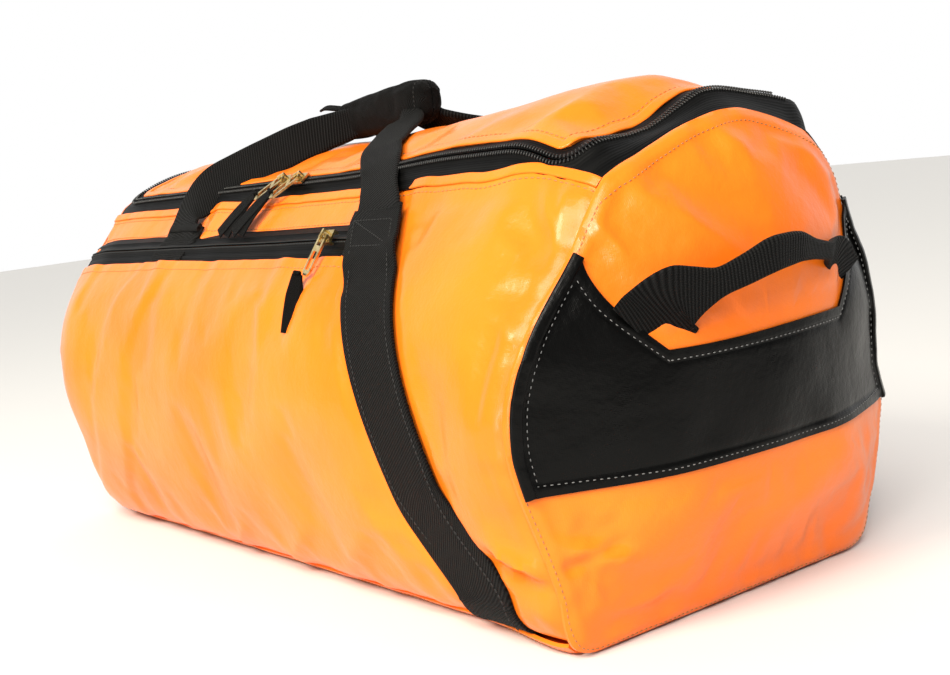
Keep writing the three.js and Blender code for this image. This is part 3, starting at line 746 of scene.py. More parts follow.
def zip_fabric():
    """Fine herringbone tape beside the zip's teeth."""
    shader = Shader("zip_tape_weave")
    flat = shader.coordinates("UV", (1, 1, 1))
    lines = shader.add("ShaderNodeTexWave", bands_direction="X", Scale=240.0)
    shader.join(flat, lines.inputs["Vector"])
    broad = shader.add("ShaderNodeTexWave", bands_direction="X", Scale=55.0)
    shader.join(flat, broad.inputs["Vector"])
    normal = shader.bump(lines.outputs["Fac"], 0.0001)
    normal = shader.bump(broad.outputs["Fac"], 0.00012, under=normal)
    tint = shader.ramp(broad.outputs["Fac"], [(0.1, grey(0.001)), (0.9, grey(0.003))])
    shader.set(Base_Color=tint, Roughness=0.5, Normal=normal)
    shader.set(Sheen_Weight=0.0, Specular_IOR_Level=0.09)
    return shader.material


def brass():
    """Pale worn brass plating, with fine scratches."""
    shader = Shader("pale_brass_plate")
    solid = shader.coordinates("Object", (1, 1, 1))
    wear = shader.noise(solid, 160.0, 5.0, 0.65)
    tint = shader.ramp(wear, [(0.35, srgb("A88B50")), (0.55, srgb("D9C388")), (0.8, srgb("F1E3B8"))])
    scratch = shader.noise(shader.coordinates("Object", (3000, 400, 400)), 1.0, 2.0)
    normal = shader.bump(scratch, 0.00003)
    shader.set(Base_Color=tint, Metallic=1.0, Roughness=shader.scale_to(wear, 0.18, 0.4), Normal=normal)
    return shader.material


def plain_yarn(name, colour, roughness, specular=0.4):
    """Thread, coil nylon and other small moulded or spun parts."""
    shader = Shader(name)
    solid = shader.coordinates("Object", (1, 1, 1))
    mottled = shader.noise(solid, 400.0, 2.0)
    pale = [c * 1.5 for c in colour[:3]] + [1.0]
    tint = shader.ramp(mottled, [(0.3, colour), (0.75, pale)])
    normal = shader.bump(shader.noise(solid, 2500.0, 2.0), 0.00008)
    shader.set(Base_Color=tint, Roughness=roughness, Normal=normal, Specular_IOR_Level=specular)
    return shader.material


ORANGES = (0.86, 0.155, 0.008, 1), (0.95, 0.19, 0.01, 1), (1.0, 0.22, 0.012, 1)
BLACKS = grey(0.001), grey(0.0015), grey(0.002)
ORANGE = coated_fabric("orange_pvc_fabric", *ORANGES, roughness=0.3, coat=0.16, shine=0.26)
BLACK = coated_fabric("black_pvc_fabric", *BLACKS, roughness=0.28, coat=0.0, shine=0.13)
WEBBING = ribbed_webbing("strap_webbing", 1.7, math.radians(24), grey(0.001), grey(0.008))
HANDLE_WEBBING = ribbed_webbing("handle_webbing", 2.1, math.radians(-12), grey(0.001), grey(0.011))
RIBBON = ribbed_webbing("pull_ribbon_weave", 0.7, 0.0, grey(0.001), grey(0.008))
GRIP = ribbed_webbing("grip_wrap_weave", 1.2, math.radians(45), grey(0.001), grey(0.006))
TAPE = zip_fabric()
TEETH = plain_yarn("coil_nylon", grey(0.016), 0.35, 0.35)
BRASS = brass()
DARK_THREAD = plain_yarn("orange_thread", srgb("96683C"), 0.6)
BLACK_THREAD = plain_yarn("black_thread", grey(0.01), 0.6)
PALE_THREAD = plain_yarn("pale_thread", grey(0.12), 0.5)


# ---- Body panels -------------------------------------------------------------------------------
def front_edge(x):
    """Girth of the wrap's front edge, which climbs to the zip's corner at the right end."""
    return ZIP_S - EDGE_BELOW_ZIP + EDGE_CLIMB * ease((x - 205) / 105)


def strap_centre(girth):
    """Centre line of the right strap at a girth, up the front or the back."""
    above = np.abs(girth) - FOOT_S
    t = np.clip(above / (ANCHOR_S - FOOT_S), 0, 1)
    swept = STRAP_SWEEP * (1 - ease(above / 62))
    centre = STRAP_FOOT_X + (STRAP_TOP_X - STRAP_FOOT_X) * t + STRAP_BOW * np.sin(np.pi * t)
    return centre + swept + 4 * ease(-above / 28)


# Creases of the wrap: start and end as (x, z), then width and height.
FRONT_FOLDS = [
    ((279, 252), (303, 222), 6, 3.6),
    ((270, 240), (296, 204), 8, -2.6),
    ((292, 256), (300, 236), 4, 2.6),
    ((252, 226), (306, 206), 7, 2.6),
    ((276, 190), (308, 176), 6, 2.0),
    ((268, 62), (309, 50), 5, 4.6),
    ((262, 50), (307, 42), 4, -4.4),
    ((284, 30), (309, 26), 6, 2.4),
]
BACK_FOLDS = [
    ((276, 244), (306, 214), 7, 3.0),
    ((-304, 240), (-268, 210), 7, 3.0),
    ((-300, 70), (-262, 84), 7, 2.4),
]
FAR_AWAY = -500  # a height that keeps one side's creases off the other side


def wrap_relief(x, s):
    """Folds and puckers of the wrap: along the end seams, the zip and beside the straps."""
    high = np.interp(np.abs(s), GIRTH, HALF[:, 1])
    inward = SEAM_X - np.abs(x)
    side = np.sign(x)
    groove = -2.2 * near(inward, 0, 3.0) + 1.4 * near(inward, 9, 6.5)
    gather = 1.0 + 1.1 * ease((high - 150) / 70) + 0.7 * ease((60 - high) / 40)
    edge = np.exp(-inward / 22) * ease(inward / 3)
    pucker = 1.3 * ripple(s / 13, inward / 70 + 9 * side, 11)
    pucker = pucker + 0.8 * ripple(s / 6.5, inward / 50 + 7 * side, 12)
    zip_away = ZIP_S - np.abs(s)
    zip_pull = np.exp(-np.maximum(zip_away - 12, 0) / 16) * ripple(x / 17, s / 60, 13)
    lazy = 2.2 * ripple(x / 90, s / 80, 14) + 0.8 * ripple(x / 33, s / 48, 15)
    lazy = lazy * ease(inward / 35) * ease(zip_away / 40)
    strap_gap = np.abs(np.abs(x) - strap_centre(s))
    pressed = -1.6 * (1 - ease((strap_gap - 14) / 14)) + 0.9 * near(strap_gap, 34, 7)
    covered = 1 - ease((strap_gap - 20) / 14)
    face_down = ease((high - GROUND - 1) / 16)
    relief = groove + edge * gather * pucker + (zip_pull + lazy) * (1 - covered) + pressed
    folds = creases(x, np.where(s < 0, high, FAR_AWAY), FRONT_FOLDS)
    folds = folds + creases(x, np.where(s < 0, FAR_AWAY, high), BACK_FOLDS)
    return (relief + folds * ease(inward / 5)) * face_down


def stations(limit, step, fine, reach):
    """Stations from -limit to limit, finer within reach of the ends."""
    middle = np.arange(-limit + reach, limit - reach + 0.1, step)
    tail = np.arange(limit - reach + fine, limit + 0.01, fine)
    return np.concatenate([-tail[::-1], middle, tail])


def skin_uv(x, s):
    """Texture coordinates in millimetres: along the bag, and round it."""
    return np.stack(np.broadcast_arrays(x, s), -1)


def build_wrap():
    """The front, underside and back in one sheet, from the front edge to the lid's back seam."""
    x = stations(SEAM_X + 1, 4.0, 2.0, 45)[:, None]
    share = np.linspace(0, 1, 196)[None, :]
    low_edge = ZIP_S - EDGE_BELOW_ZIP
    s = -low_edge * (1 - share) + (ZIP_S - 1) * share
    s = s + (low_edge - front_edge(x)) * (1 - ease(share / 0.14))
    sewn = 1 - ease((SEAM_X - np.abs(x) - 5) / 14) * ease((ZIP_S - np.abs(s) - 22) / 14)
    strap_gap = np.abs(np.abs(x) - strap_centre(s))
    pressed = np.maximum(1 - ease((strap_gap - WEBBING_HALF) / 12), 1 - ease((np.abs(s) - LIP_S) / 24))
    covered = (s < 0) & (-s < BAND_TOP_S + 8) & (x < strap_centre(s))
    hold = np.maximum(np.maximum(sewn, pressed), np.where(covered, 1.0, 0.0))
    grid = let_settle(skin(x, s, wrap_relief(x, s)), hold)
    piece = fabric("wrap", grid, WRAP_THICK, ORANGE, skin_uv(x, s))
    fit_out(piece, "bag", "orange_pvc", "wrap_panel")


def build_base():
    """The padded base under the wrap, and the row of stitches along each of its long edges."""
    x = stations(SEAM_X - 5, 8.0, 4.0, 24)[:, None]
    s = spaced(-LIP_S, LIP_S, 3.0)[None, :]
    rim = LIP_S - np.abs(s)
    wave = 0.5 * ripple(x / 21, s / 30, 21) * (1 - ease(rim / 26))
    lift = GROUND - 0.05 - 2.2 * (1 - ease(rim / 7)) + wave - 1.2 * near(SEAM_X - np.abs(x), 0, 5)
    lift = np.minimum(lift, np.where(np.abs(s) < BASE_HALF, GROUND - 0.05, 99))
    piece = fabric("base", skin(x, s, lift), BASE_THICK, ORANGE, skin_uv(x, s))
    fit_out(piece, "bag", "orange_pvc", "base_panel")
    line_x = spaced(-300, 300, 2.0)
    for place, line_s in (("front", 5 - LIP_S), ("back", LIP_S - 5)):
        line = skin(line_x, line_s, GROUND - 0.6)
        stitches(f"base_stitching_{place}", line, outward(line_x, line_s), "bag", DARK_THREAD)


# Creases of the pocket: start and end as (x, distance above its foot), then width and height.
POCKET_FOLDS = [
    ((20, 6), (72, 40), 6, 2.2),
    ((-60, 4), (-22, 30), 5, 1.8),
    ((96, 10), (150, 50), 8, 2.0),
]


def pocket_lift(x, s):
    """How far the pocket stands off the wrap: flat at its edges, full in the middle."""
    down = POCKET_TOP_S + s  # distance below the pocket's top edge; s is negative here
    low = -s - LIP_S
    right = strap_centre(s) - WEBBING_HALF - x
    left = x + SEAM_X
    body = ease(down / 40) * ease(low / 40) * ease(right / 45) * ease(left / 40)
    gathers = 1.6 * ripple(x / 16, down / 120, 31) + 1.1 * ripple(x / 34, down / 150, 32)
    gathers = gathers * np.exp(-down / 55) * ease((right + 2) / 10)
    drag = 1.1 * ripple(x / 70, s / 60, 33) + 0.5 * ripple(x / 28, s / 34, 34)
    hem = 0.5 * near(down, 3.5, 3.0)
    seam = 1.2 * ripple(s / 12, left / 60, 35) * np.exp(-left / 18) * ease(left / 3)
    bottom = 1.3 * ripple(x / 15 + low / 22, low / 60, 36) * np.exp(-low / 22)
    folds = creases(x, low, POCKET_FOLDS)
    under = 1.8 * (1 - ease((np.abs(x + strap_centre(s)) - WEBBING_HALF + 2) / 12))
    base = 1.5 + 2.1 * ease((right + 4) / 18) + under
    slack = gathers + drag * ease(down / 25) + seam + bottom + hem + folds
    slack = np.where(slack < 0, slack * (1 - under / 2.4), slack)
    lift = base + 3.2 * body + slack * ease((right + 6) / 14)
    return 2.6 + (lift - 2.6) * ease((low + 2) / 9)


def build_pocket():
    """The front pocket's sheet, from the left end seam to under the right strap."""
    share = np.concatenate([np.linspace(0, 0.09, 16)[:-1], np.linspace(0.09, 1, 130)])[:, None]
    s = spaced(-POCKET_TOP_S, 4 - LIP_S, 3.0)[None, :]
    right = strap_centre(s) - WEBBING_HALF + 7
    x = -SEAM_X + 1 + (right + SEAM_X - 1) * share
    right_gap = strap_centre(s) - WEBBING_HALF - x
    loose = ease((SEAM_X + x - 4) / 14) * ease((right_gap - 1) / 12)
    loose = loose * ease((POCKET_TOP_S + s - 11) / 16) * ease((-s - LIP_S - 2) / 22)
    grid = let_settle(skin(x, s, pocket_lift(x, s)), 1 - loose, push=3.0, slack=0.011, cap=7.0, sink=0.6)
    piece = fabric("pocket", grid, POCKET_THICK, ORANGE, skin_uv(x, s))
    fit_out(piece, "bag", "orange_pvc", "pocket_panel")


# ---- End panels and their reinforcing patches ----------------------------------------------------
PATCH_LOW_Z = 92.0
PATCH_TIP_Z = 221.0
PATCH_MIDDLE_Z = 160.0
PATCH_DIP_AT = 0.52  # the share of the half width at which the top edge starts to climb


def patch_top(share):
    """Height of a patch's top edge, which is low in the middle and climbs to both seams."""
    slant = np.clip((np.abs(share) - PATCH_DIP_AT) / (1 - PATCH_DIP_AT), 0, 1)
    return PATCH_MIDDLE_Z + (PATCH_TIP_Z - PATCH_MIDDLE_Z) * slant


def end_row(end, inset_side, inset_top, lift):
    """A closed line round an end panel, inset from the seam, with the outward direction along it."""
    marks = np.arange(0, len(RIM) + 1, 2) % len(RIM)
    rim_y, rim_z = RIM[marks, 0], RIM[marks, 1]
    inset = inset_side + (inset_top - inset_side) * ease((rim_z - 246) / 20)
    reach = np.hypot(rim_y, rim_z - DOME_CENTRE_Z)
    keep = 1 - inset / reach
    y, z = rim_y * keep, DOME_CENTRE_Z + (rim_z - DOME_CENTRE_Z) * keep
    line = on_end(end, y, z, lift)
    splay = np.stack([0 * y, y / 300, (z - DOME_CENTRE_Z) / 300], -1)
    return line, on_end(end, y, z, lift + 1) - line + splay


def build_end(end):
    """An end panel: rings of points from the seam in to a small disc in the middle of the dome."""
    hand = "right" if end > 0 else "left"
    count = 312
    marks = np.linspace(0, len(RIM), count, endpoint=False)
    closed = np.concatenate([RIM, RIM[:1]])
    rim = np.stack([np.interp(marks, np.arange(len(closed)), closed[:, k]) for k in (0, 1)], -1)
    share = np.concatenate([np.linspace(1, 0.86, 12)[:-1], np.linspace(0.86, 0.015, 40)])[:, None]
    y = rim[None, :, 0] * share
    z = DOME_CENTRE_Z + (rim[None, :, 1] - DOME_CENTRE_Z) * share
    beside = np.maximum(PATCH_LOW_Z - z, z - patch_top(y / np.maximum(half_width(z), 1)))
    hold = 1 - ease((1 - share) * DOME_REACH / 14 - 0.35) * ease((beside - 4) / 14)
    middle = np.array([end * SEAM_X * 0.8, 0, DOME_CENTRE_Z])
    outer = let_settle(on_end(end, y, z), hold, inside=middle, wrap=True)
    inner = outer - [end * END_THICK, 0, 0]
    rows = len(share)
    faces = [tuple(f) for f in grid_faces(rows, count, wrap=True)]
    faces += [tuple(f) for f in grid_faces(rows, count, rows * count, wrap=True)]
    ring = np.arange(count)
    after = (ring + 1) % count
    faces += [tuple(f) for f in np.stack([ring, after, after + rows * count, ring + rows * count], -1)]
    hub = (rows - 1) * count
    faces += [tuple(hub + ring), tuple(hub + rows * count + ring)]
    points = np.concatenate([outer.reshape(-1, 3), inner.reshape(-1, 3)])
    uv = np.tile(np.stack([y, z], -1).reshape(-1, 2), (2, 1))
    piece = make_piece(f"end_{hand}", points, faces, uv, ORANGE)
    fit_out(piece, "bag", "orange_pvc", f"end_panel_{hand}")
    line, up = end_row(end, 2.0, 7.5, 0.1)
    stitches(f"end_seam_stitching_{hand}", line, up, "bag", DARK_THREAD, pitch=3.6, length=1.1)


def patch_point(end, share, rise, lift):
    """A point of a patch: share is across, from -1 to 1, and rise goes from its bottom to its top."""
    z = PATCH_LOW_Z + (patch_top(share) - PATCH_LOW_Z) * rise
    return on_end(end, share * half_width(z) * 0.993, z, lift)


def build_patch(end):
    """A patch, with its folded side edges and its rows of pale stitches."""
    hand = "right" if end > 0 else "left"
    outer_part = np.linspace(PATCH_DIP_AT, 1, 40)
    middle_part = np.linspace(-PATCH_DIP_AT, PATCH_DIP_AT, 34)[1:-1]
    share = np.concatenate([-outer_part[::-1], middle_part, outer_part])[:, None]
    low_part, high_part = np.linspace(0, 0.12, 9)[:-1], np.linspace(0.88, 1, 9)
    rise = np.concatenate([low_part, np.linspace(0.12, 0.88, 26)[:-1], high_part])[None, :]
    tall = patch_top(share) - PATCH_LOW_Z
    side = (1 - np.abs(share)) * DOME_REACH
    rim = np.minimum(np.minimum(rise, 1 - rise) * tall, side)
    z = PATCH_LOW_Z + tall * rise
    dents = ripple(share * 3.2 + end, z / 40, 41) * ease(rim / 20)
    dents = dents + 1.5 * ripple(z / 14, side / 40, 42) * np.exp(-side / 22) * ease(side / 6)
    lift = 1.5 + 0.5 * (1 - ease((rim - 5) / 2.5)) - 0.5 * near(rim, 7, 1.6) + np.maximum(dents, -1.0)
    grid = patch_point(end, share, rise, lift)
    piece = fabric(f"patch_{hand}", grid, PATCH_THICK, BLACK, skin_uv(share * DOME_REACH, z))
    fit_out(piece, "bag", "black_pvc", f"end_patch_{hand}")
    for facing, place in ((-1, "front"), (1, "back")):
        line = patch_point(end, facing * 0.985, np.linspace(0, 1, 70), 2.4)
        across = [end * 0.55, -facing, 0]
        roll = band(f"patch_fold_{hand}_{place}", line, across, 3.4, 1.3, BLACK, flats=4)
        fit_out(roll, "bag", "black_pvc")
    # Each row of stitches: where it starts and ends, as share across and rise, and its points.
    rows = {
        "low": ((-0.96, 0.05), (0.96, 0.05), 120),
        "front": ((-0.945, 0.03), (-0.945, 0.93), 60),
        "back": ((0.945, 0.03), (0.945, 0.93), 60),
        "middle": ((-PATCH_DIP_AT, 0.91), (PATCH_DIP_AT, 0.91), 60),
        "slant_front": ((-0.94, 0.945), (-PATCH_DIP_AT, 0.91), 60),
        "slant_back": ((PATCH_DIP_AT, 0.91), (0.94, 0.945), 60),
    }
    for row, (start, finish, count) in rows.items():
        share_line, rise_line = np.linspace(start, finish, count).T
        line = patch_point(end, share_line, rise_line, 1.9)
        up = np.tile([end, 0, 0.2], (count, 1))
        name = f"patch_stitching_{hand}_{row}"
        stitches(name, line, up, "bag", PALE_THREAD, *PATCH_STITCH)


# ---- Pocket zip ------------------------------------------------------------------------------------
POCKET_COIL_SIZE = (0.75, 0.9, 0.7)  # half length, half width and half height of one turn


def build_pocket_zip():
    """A reversed coil zip: smooth tape, with a ridge where the hidden coil pushes it out."""
    low, high = POCKET_TOP_S - 3, BAND_TOP_S + 1
    middle = (POCKET_TOP_S + BAND_TOP_S) / 2
    left, right = 1 - SEAM_X, strap_centre(middle) - WEBBING_HALF + 6

    def flutter(x, s):
        return 0.5 * ripple(x / 24, s / 40, 51)

    gap = 0.5
    lower = np.linspace(low, middle - gap, 12)
    upper = np.linspace(middle + gap, high, 12)
    for name, girths in (("lower", lower), ("upper", upper)):
        ridge = 2.6 * near(girths, middle, 3.6) + 0.9 * near(np.abs(girths - middle), 7.4, 1.0)
        lifts = 2.0 + ridge - 1.4 * ease((girths - high + 4) / 4)
        x, s = spaced(left, right, 3.0)[:, None], -girths[None, :]
        grid = skin(x, s, lifts + flutter(x, s))
        piece = fabric(f"pocket_tape_{name}", grid, TAPE_THICK, TAPE, skin_uv(s, x))
        fit_out(piece, "bag", "zip_tape", f"pocket_zip_tape_{name}")
    x = np.arange(left, right, 2.0)
    along = np.tile([1.0, 0, 0], (len(x), 1))
    for name, girth, nodes in (("low", middle - 1.1, ["pocket_zip_coil"]), ("high", middle + 1.1, [])):
        places = skin(x, -girth, 3.9 + flutter(x, -girth))
        up = outward(x, -girth)
        piece = beads(f"pocket_coil_{name}", places, along, up, POCKET_COIL_SIZE, BLACK_THREAD)
        fit_out(piece, "bag", "zip_coil", *nodes)
    x = spaced(3 - SEAM_X, right - 4, 2.0)
    top, over = 7 - POCKET_TOP_S, -BAND_TOP_S - 3
    up = outward(x, top)
    stitches("pocket_top_stitching", skin(x, top, pocket_lift(x, top) + 0.1), up, "bag", DARK_THREAD)
    line = skin(x, over, wrap_relief(x, over) + 0.1)
    stitches("pocket_band_stitching", line, up, "bag", DARK_THREAD)


# ---- Main zip --------------------------------------------------------------------------------------
CORNER_R = 20.0
QUARTER = 14  # points round a corner
BODY_BAND = 16.0  # how far the black band reaches from the zip, on the body along the girth
LID_BAND = 11.0  # on the lid along the girth
LID_END_BAND = 16.0  # and on the lid along the bag
TOOTH_PITCH = 2.3
TOOTH_SIZE = (1.5, 0.45, 0.7)
BODY_START = -26.0  # girth from the zip's corner at which the body's band starts
LID_START = 11.0


def zip_route(beyond_x, beyond_s, square=0.0, start=2.0):
    """The zip's route as (station, girth) at distances outside the lid's edge, negative within it."""
    reach_x, reach_s = CORNER_R + beyond_x, CORNER_R + beyond_s
    corner_x, corner_s = ZIP_X - CORNER_R, FRONT_S - CORNER_R
    climb = spaced(ZIP_S + start, corner_s, 3.0)
    turn = np.linspace(0, math.pi / 2, QUARTER + 1)[1:-1]
    run = spaced(-corner_x, corner_x, 3.0)
    turn_x = np.cos(turn) * (1 - square) + np.minimum(1, 1 / np.tan(turn)) * square
    turn_s = np.sin(turn) * (1 - square) + np.minimum(1, np.tan(turn)) * square
    left_x = np.concatenate([np.full_like(climb, -corner_x - reach_x), -corner_x - reach_x * turn_x])
    left_s = np.concatenate([climb, corner_s + reach_s * turn_s])
    right_x, right_s = -left_x[::-1], left_s[::-1]
    x = np.concatenate([left_x, run, right_x])
    s = np.concatenate([left_s, np.full_like(run, corner_s + reach_s), right_s])
    return x, s


def zip_lift(x, s):
    """The black band flutters a little where it is slack."""
    return 0.35 * ripple(x / 26, s / 30, 61) + 0.15 * ripple(x / 11, s / 14, 62)


def build_zip_band(side):
    """The tape and coil on one side of the main zip: side is 1 on the body and -1 on the lid."""
    name, body = ("body", "bag") if side > 0 else ("lid", "lid")
    start = BODY_START if side > 0 else LID_START
    wide_x, wide_s = (SEAM_X - ZIP_X + 1.2, BODY_BAND) if side > 0 else (LID_END_BAND, LID_BAND)
    columns = []
    for share in np.linspace(0, 1, 11):
        reach_x, reach_s = side * (0.4 + wide_x * share), side * (0.4 + wide_s * share)
        x, s = zip_route(reach_x, reach_s, share if side > 0 else 0.0, start)
        if side > 0:
            s = np.minimum(s, 2 * ROUND - front_edge(x) + 4)
        across = abs(reach_s)
        ridge = 1.7 * near(across, 0.5, 3.4) + 0.5 * near(across, 6.3, 1.2)
        under = 1.8 * ease((np.abs(x) - SEAM_X + 5) / 5)
        lift = 0.7 + ridge + zip_lift(x, s) * ease(across / 5) * (1 - share**3) - under - 0.9 * share**3
        behind = ease((ZIP_S + 8 - s) / 8) * (1.0 if side > 0 else 0.0)
        lift = lift * (1 - behind) + (2.2 + wrap_relief(x, s)) * behind
        columns.append((x, s, lift, np.full_like(x, across)))
    x, s, lift, across = (np.stack([c[k] for c in columns], 1) for k in range(4))
    travel = travelled(np.stack(zip_route(0, 0, start=start), -1))
    uv = skin_uv(across, travel[:, None])
    piece = fabric(f"zip_band_{name}", skin(x, s, lift), BAND_THICK, TAPE, uv)
    fit_out(piece, body, "zip_tape", f"main_zip_tape_{name}")
    first_tooth = 4.0 if side > 0 else LID_START
    route_x, route_s = zip_route(side * 1.7, side * 1.7, start=first_tooth)
    other_x, other_s = zip_route(side * 2.7, side * 2.7, start=first_tooth)
    line = skin(route_x, route_s, 3.0)
    across_line = skin(other_x, other_s, 3.0) - line
    up_line = skin(route_x, route_s, 4.0) - line
    travel = travelled(line)
    marks = np.arange(TOOTH_PITCH * (0.5 if side > 0 else 1.0), travel[-1] - 1, TOOTH_PITCH)
    places, across_at, up = (
        np.stack([np.interp(marks, travel, row[:, k]) for k in range(3)], -1)
        for row in (line, across_line, up_line)
    )
    teeth = beads(f"zip_teeth_{name}", places, across_at, up, TOOTH_SIZE, TEETH)
    fit_out(teeth, body, "zip_coil", f"main_zip_coil_{name}")


def build_zip_stop(end):
    """A short black tab across an end of the main zip, under the lid's back corner."""
    x = end * np.linspace(ZIP_X - 20, ZIP_X + 2, 12)[:, None]
    s = np.linspace(ZIP_S - 6, ZIP_S + 13, 12)[None, :]
    hand = "right" if end > 0 else "left"
    piece = fabric(f"zip_stop_{hand}", skin(x, s, -3.2), STOP_THICK, TAPE, skin_uv(x, s))
    fit_out(piece, "bag", "zip_tape")


# ---- Lid -----------------------------------------------------------------------------------------
LID_TUCK = 8.0  # the lid's front edge lies this far inside the zip, under a hem
LID_END_TUCK = 13.0  # and so do its two ends
LID_LAP = 13.0  # and its back edge laps this far down over the wrap
LID_LIFT = 0.6


# Creases of the lid: start and end as (x, distance behind its front edge), then width and height.
LID_FOLDS = [
    ((236, 16), (262, 60), 8, 3.0),
    ((180, 14), (214, 40), 9, 2.0),
    ((-240, 16), (-212, 58), 9, 2.6),
]


def lid_relief(x, s):
    """Slack, folds and puckers of the lid, and the lift of its lap over the wrap."""
    over = FRONT_S - s
    ends = ZIP_X - np.abs(x)
    back = s - ZIP_S
    broad = 2.6 * ripple(x / 85, s / 70, 71) + 1.0 * ripple(x / 36, s / 40, 72)
    broad = broad * ease(over / 40) * ease(ends / 40) * ease((back + 4) / 30)
    pull = 1.5 * ripple(x / 21, s / 90, 73) * np.exp(-np.maximum(over - 12, 0) / 24)
    drag = 1.4 * ripple(s / 17, x / 90, 74) * np.exp(-np.maximum(ends - 12, 0) / 26)
    lap = 1.6 * (1 - ease((back + 4) / 8))
    sewn = 0.25 + 0.75 * ease((np.minimum(over, ends) - 9) / 12)
    return LID_LIFT + (broad + (pull + drag) * sewn + creases(x, over, LID_FOLDS) + lap)


def round_corner(x, s):
    """Keep the lid's free corners inside the hem's rounded corners."""
    radius_x, radius_s = CORNER_R - LID_END_TUCK, CORNER_R - LID_TUCK
    corner_x, corner_s = ZIP_X - CORNER_R, FRONT_S - CORNER_R
    past_x, past_s = np.abs(x) - corner_x, s - corner_s
    reach = np.hypot(past_x / radius_x, past_s / radius_s)
    outside = (past_x > 0) & (past_s > 0) & (reach > 1)
    scale = np.where(outside, 1 / np.maximum(reach, 1e-6), 1.0)
    x = np.where(outside, np.sign(x) * (corner_x + past_x * scale), x)
    s = np.where(outside, corner_s + past_s * scale, s)
    return x, s


def build_lid():
    """The crown panel, from its lap over the wrap along its back seam to its tucked front edge and ends.
    """
    x = stations(ZIP_X - LID_END_TUCK, 4.0, 2.0, 40)[:, None]
    s = spaced(ZIP_S - LID_LAP, FRONT_S - LID_TUCK, 3.0)[None, :]
    x, s = round_corner(*np.broadcast_arrays(x, s))
    loose = ease((ZIP_X - LID_END_TUCK - np.abs(x) - 6) / 14) * ease((FRONT_S - LID_TUCK - s - 6) / 14)
    loose = loose * ease((s - ZIP_S - 14) / 14)
    grid = let_settle(skin(x, s, lid_relief(x, s)), 1 - loose, cap=5.0)
    piece = fabric("lid", grid, WRAP_THICK, ORANGE, skin_uv(x, s))
    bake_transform(piece)
    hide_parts("lid_panel")
    line_x = spaced(-288, 288, 2.0)
    line_s = ZIP_S - LID_LAP + 3
    line = skin(line_x, line_s, lid_relief(line_x, line_s) - 0.1)
    stitches("lid_back_stitching", line, outward(line_x, line_s), "bag", DARK_THREAD)


HEM_HALF = 3.4
HEM_THICK = 0.9


def build_hems():
    """Folded edges of the orange fabric over the black band, each with its row of stitches."""
    x, s = zip_route(-15.5, -10.5)
    inner_x, inner_s = zip_route(-16.5, -11.5)
    keep = slice(5, -5)  # the hem stops short of the back corners
    line = skin(x, s, lid_relief(x, s) + 0.4)[keep]
    across = (skin(inner_x, inner_s, 0.4) - skin(x, s, 0.4))[keep]
    hem = band("lid_hem", line, across, HEM_HALF, HEM_THICK, ORANGE, flats=5)
    fit_out(hem, "lid", "orange_pvc")
    x, s = zip_route(-20.4, -15.4)
    row = skin(x, s, lid_relief(x, s) + 0.1)[keep]
    stitches("lid_hem_stitching", row, outward(x, s, 1.0)[keep], "lid", DARK_THREAD)

    x = spaced(2 - SEAM_X, SEAM_X - 2, 3.0)
    wave = 1.2 * ripple(x / 40, 0, 81) + 0.6 * ripple(x / 15, 0, 82)
    s = -(front_edge(x) - 1.5) + wave
    line = skin(x, s, wrap_relief(x, s) + 0.5)
    across = skin(x, s + 1, 0) - skin(x, s, 0)
    hem = band("wrap_hem", line, across, HEM_HALF, HEM_THICK, ORANGE, flats=5)
    fit_out(hem, "bag", "orange_pvc")
    s = s + 6.0
    row = skin(x, s, wrap_relief(x, s) + 0.1)
    stitches("wrap_hem_stitching", row, outward(x, s, 1.0), "bag", DARK_THREAD)


# ---- Straps and carry handles ---------------------------------------------------------------------
def strap_lift(end, s):
    """How far a strap's middle stands off the skin: low under the base, high over a handle's foot."""
    away = np.abs(s)
    over = 1.1 * ease((away - LIP_S) / 20) * np.where((s < 0) & (end > 0), 1, 0.3)
    foot = 2.4 * ease((away - ANCHOR_S + 44) / 20) * np.where((s < 0) & (end < 0), 0, 1)
    return 1.9 - 1.3 * (1 - ease((away - LIP_S + 6) / 10)) + over + foot


def build_strap(end):
    """A strap from its front anchor, under the bag, to its back one, with two rows of stitches."""
    hand = "right" if end > 0 else "left"
    s = spaced(-ANCHOR_S - 3, ANCHOR_S + 3, 2.5)
    line = skin(end * strap_centre(s), s, strap_lift(end, s))
    name = f"strap_{hand}_webbing"
    piece = band(name, line, [1, 0, 0], WEBBING_HALF, STRAP_HALF_THICK, WEBBING, flats=12)
    fit_out(piece, "bag", "webbing", f"strap_{hand}")
    for side, edge in ((-1, "in"), (1, "out")):
        for facing, face in ((-1, "front"), (1, "back")):
            part = facing * np.arange(LIP_S + 6, ANCHOR_S - 24, 2.0)
            line_x = end * strap_centre(part) + side * (WEBBING_HALF - 4)
            row = skin(line_x, part, strap_lift(end, part) + 1.3)
            name = f"strap_stitching_{hand}_{face}_{edge}"
            stitches(name, row, outward(line_x, part, 3.0), "bag", BLACK_THREAD, pitch=3.6)


GRIP_Z = 311.0
GRIP_LEFT = -54.0
GRIP_RIGHT = 61.0

# Each leg of a carry handle, from its strap to the middle of the grip, as the bag's front shows
# it: the right leg climbs steeply, and the left one is pulled flat across the lid.
RIGHT_LEG = [(123, -96, 256), (109, -82, 272), (87, -66, 283), (68, -40, 293), (56, -24, 298)]
LEFT_LEG = [(-140, -98, 256), (-121, -84, 272), (-84, -64, 285), (-56, -44, 296), (-42, -26, 302)]
IN_GRIP = [(44, -12, 303), (30, -7, 309), (0, -6.5, 311), (-22, -6.5, 309), (-32, -12, 305)]


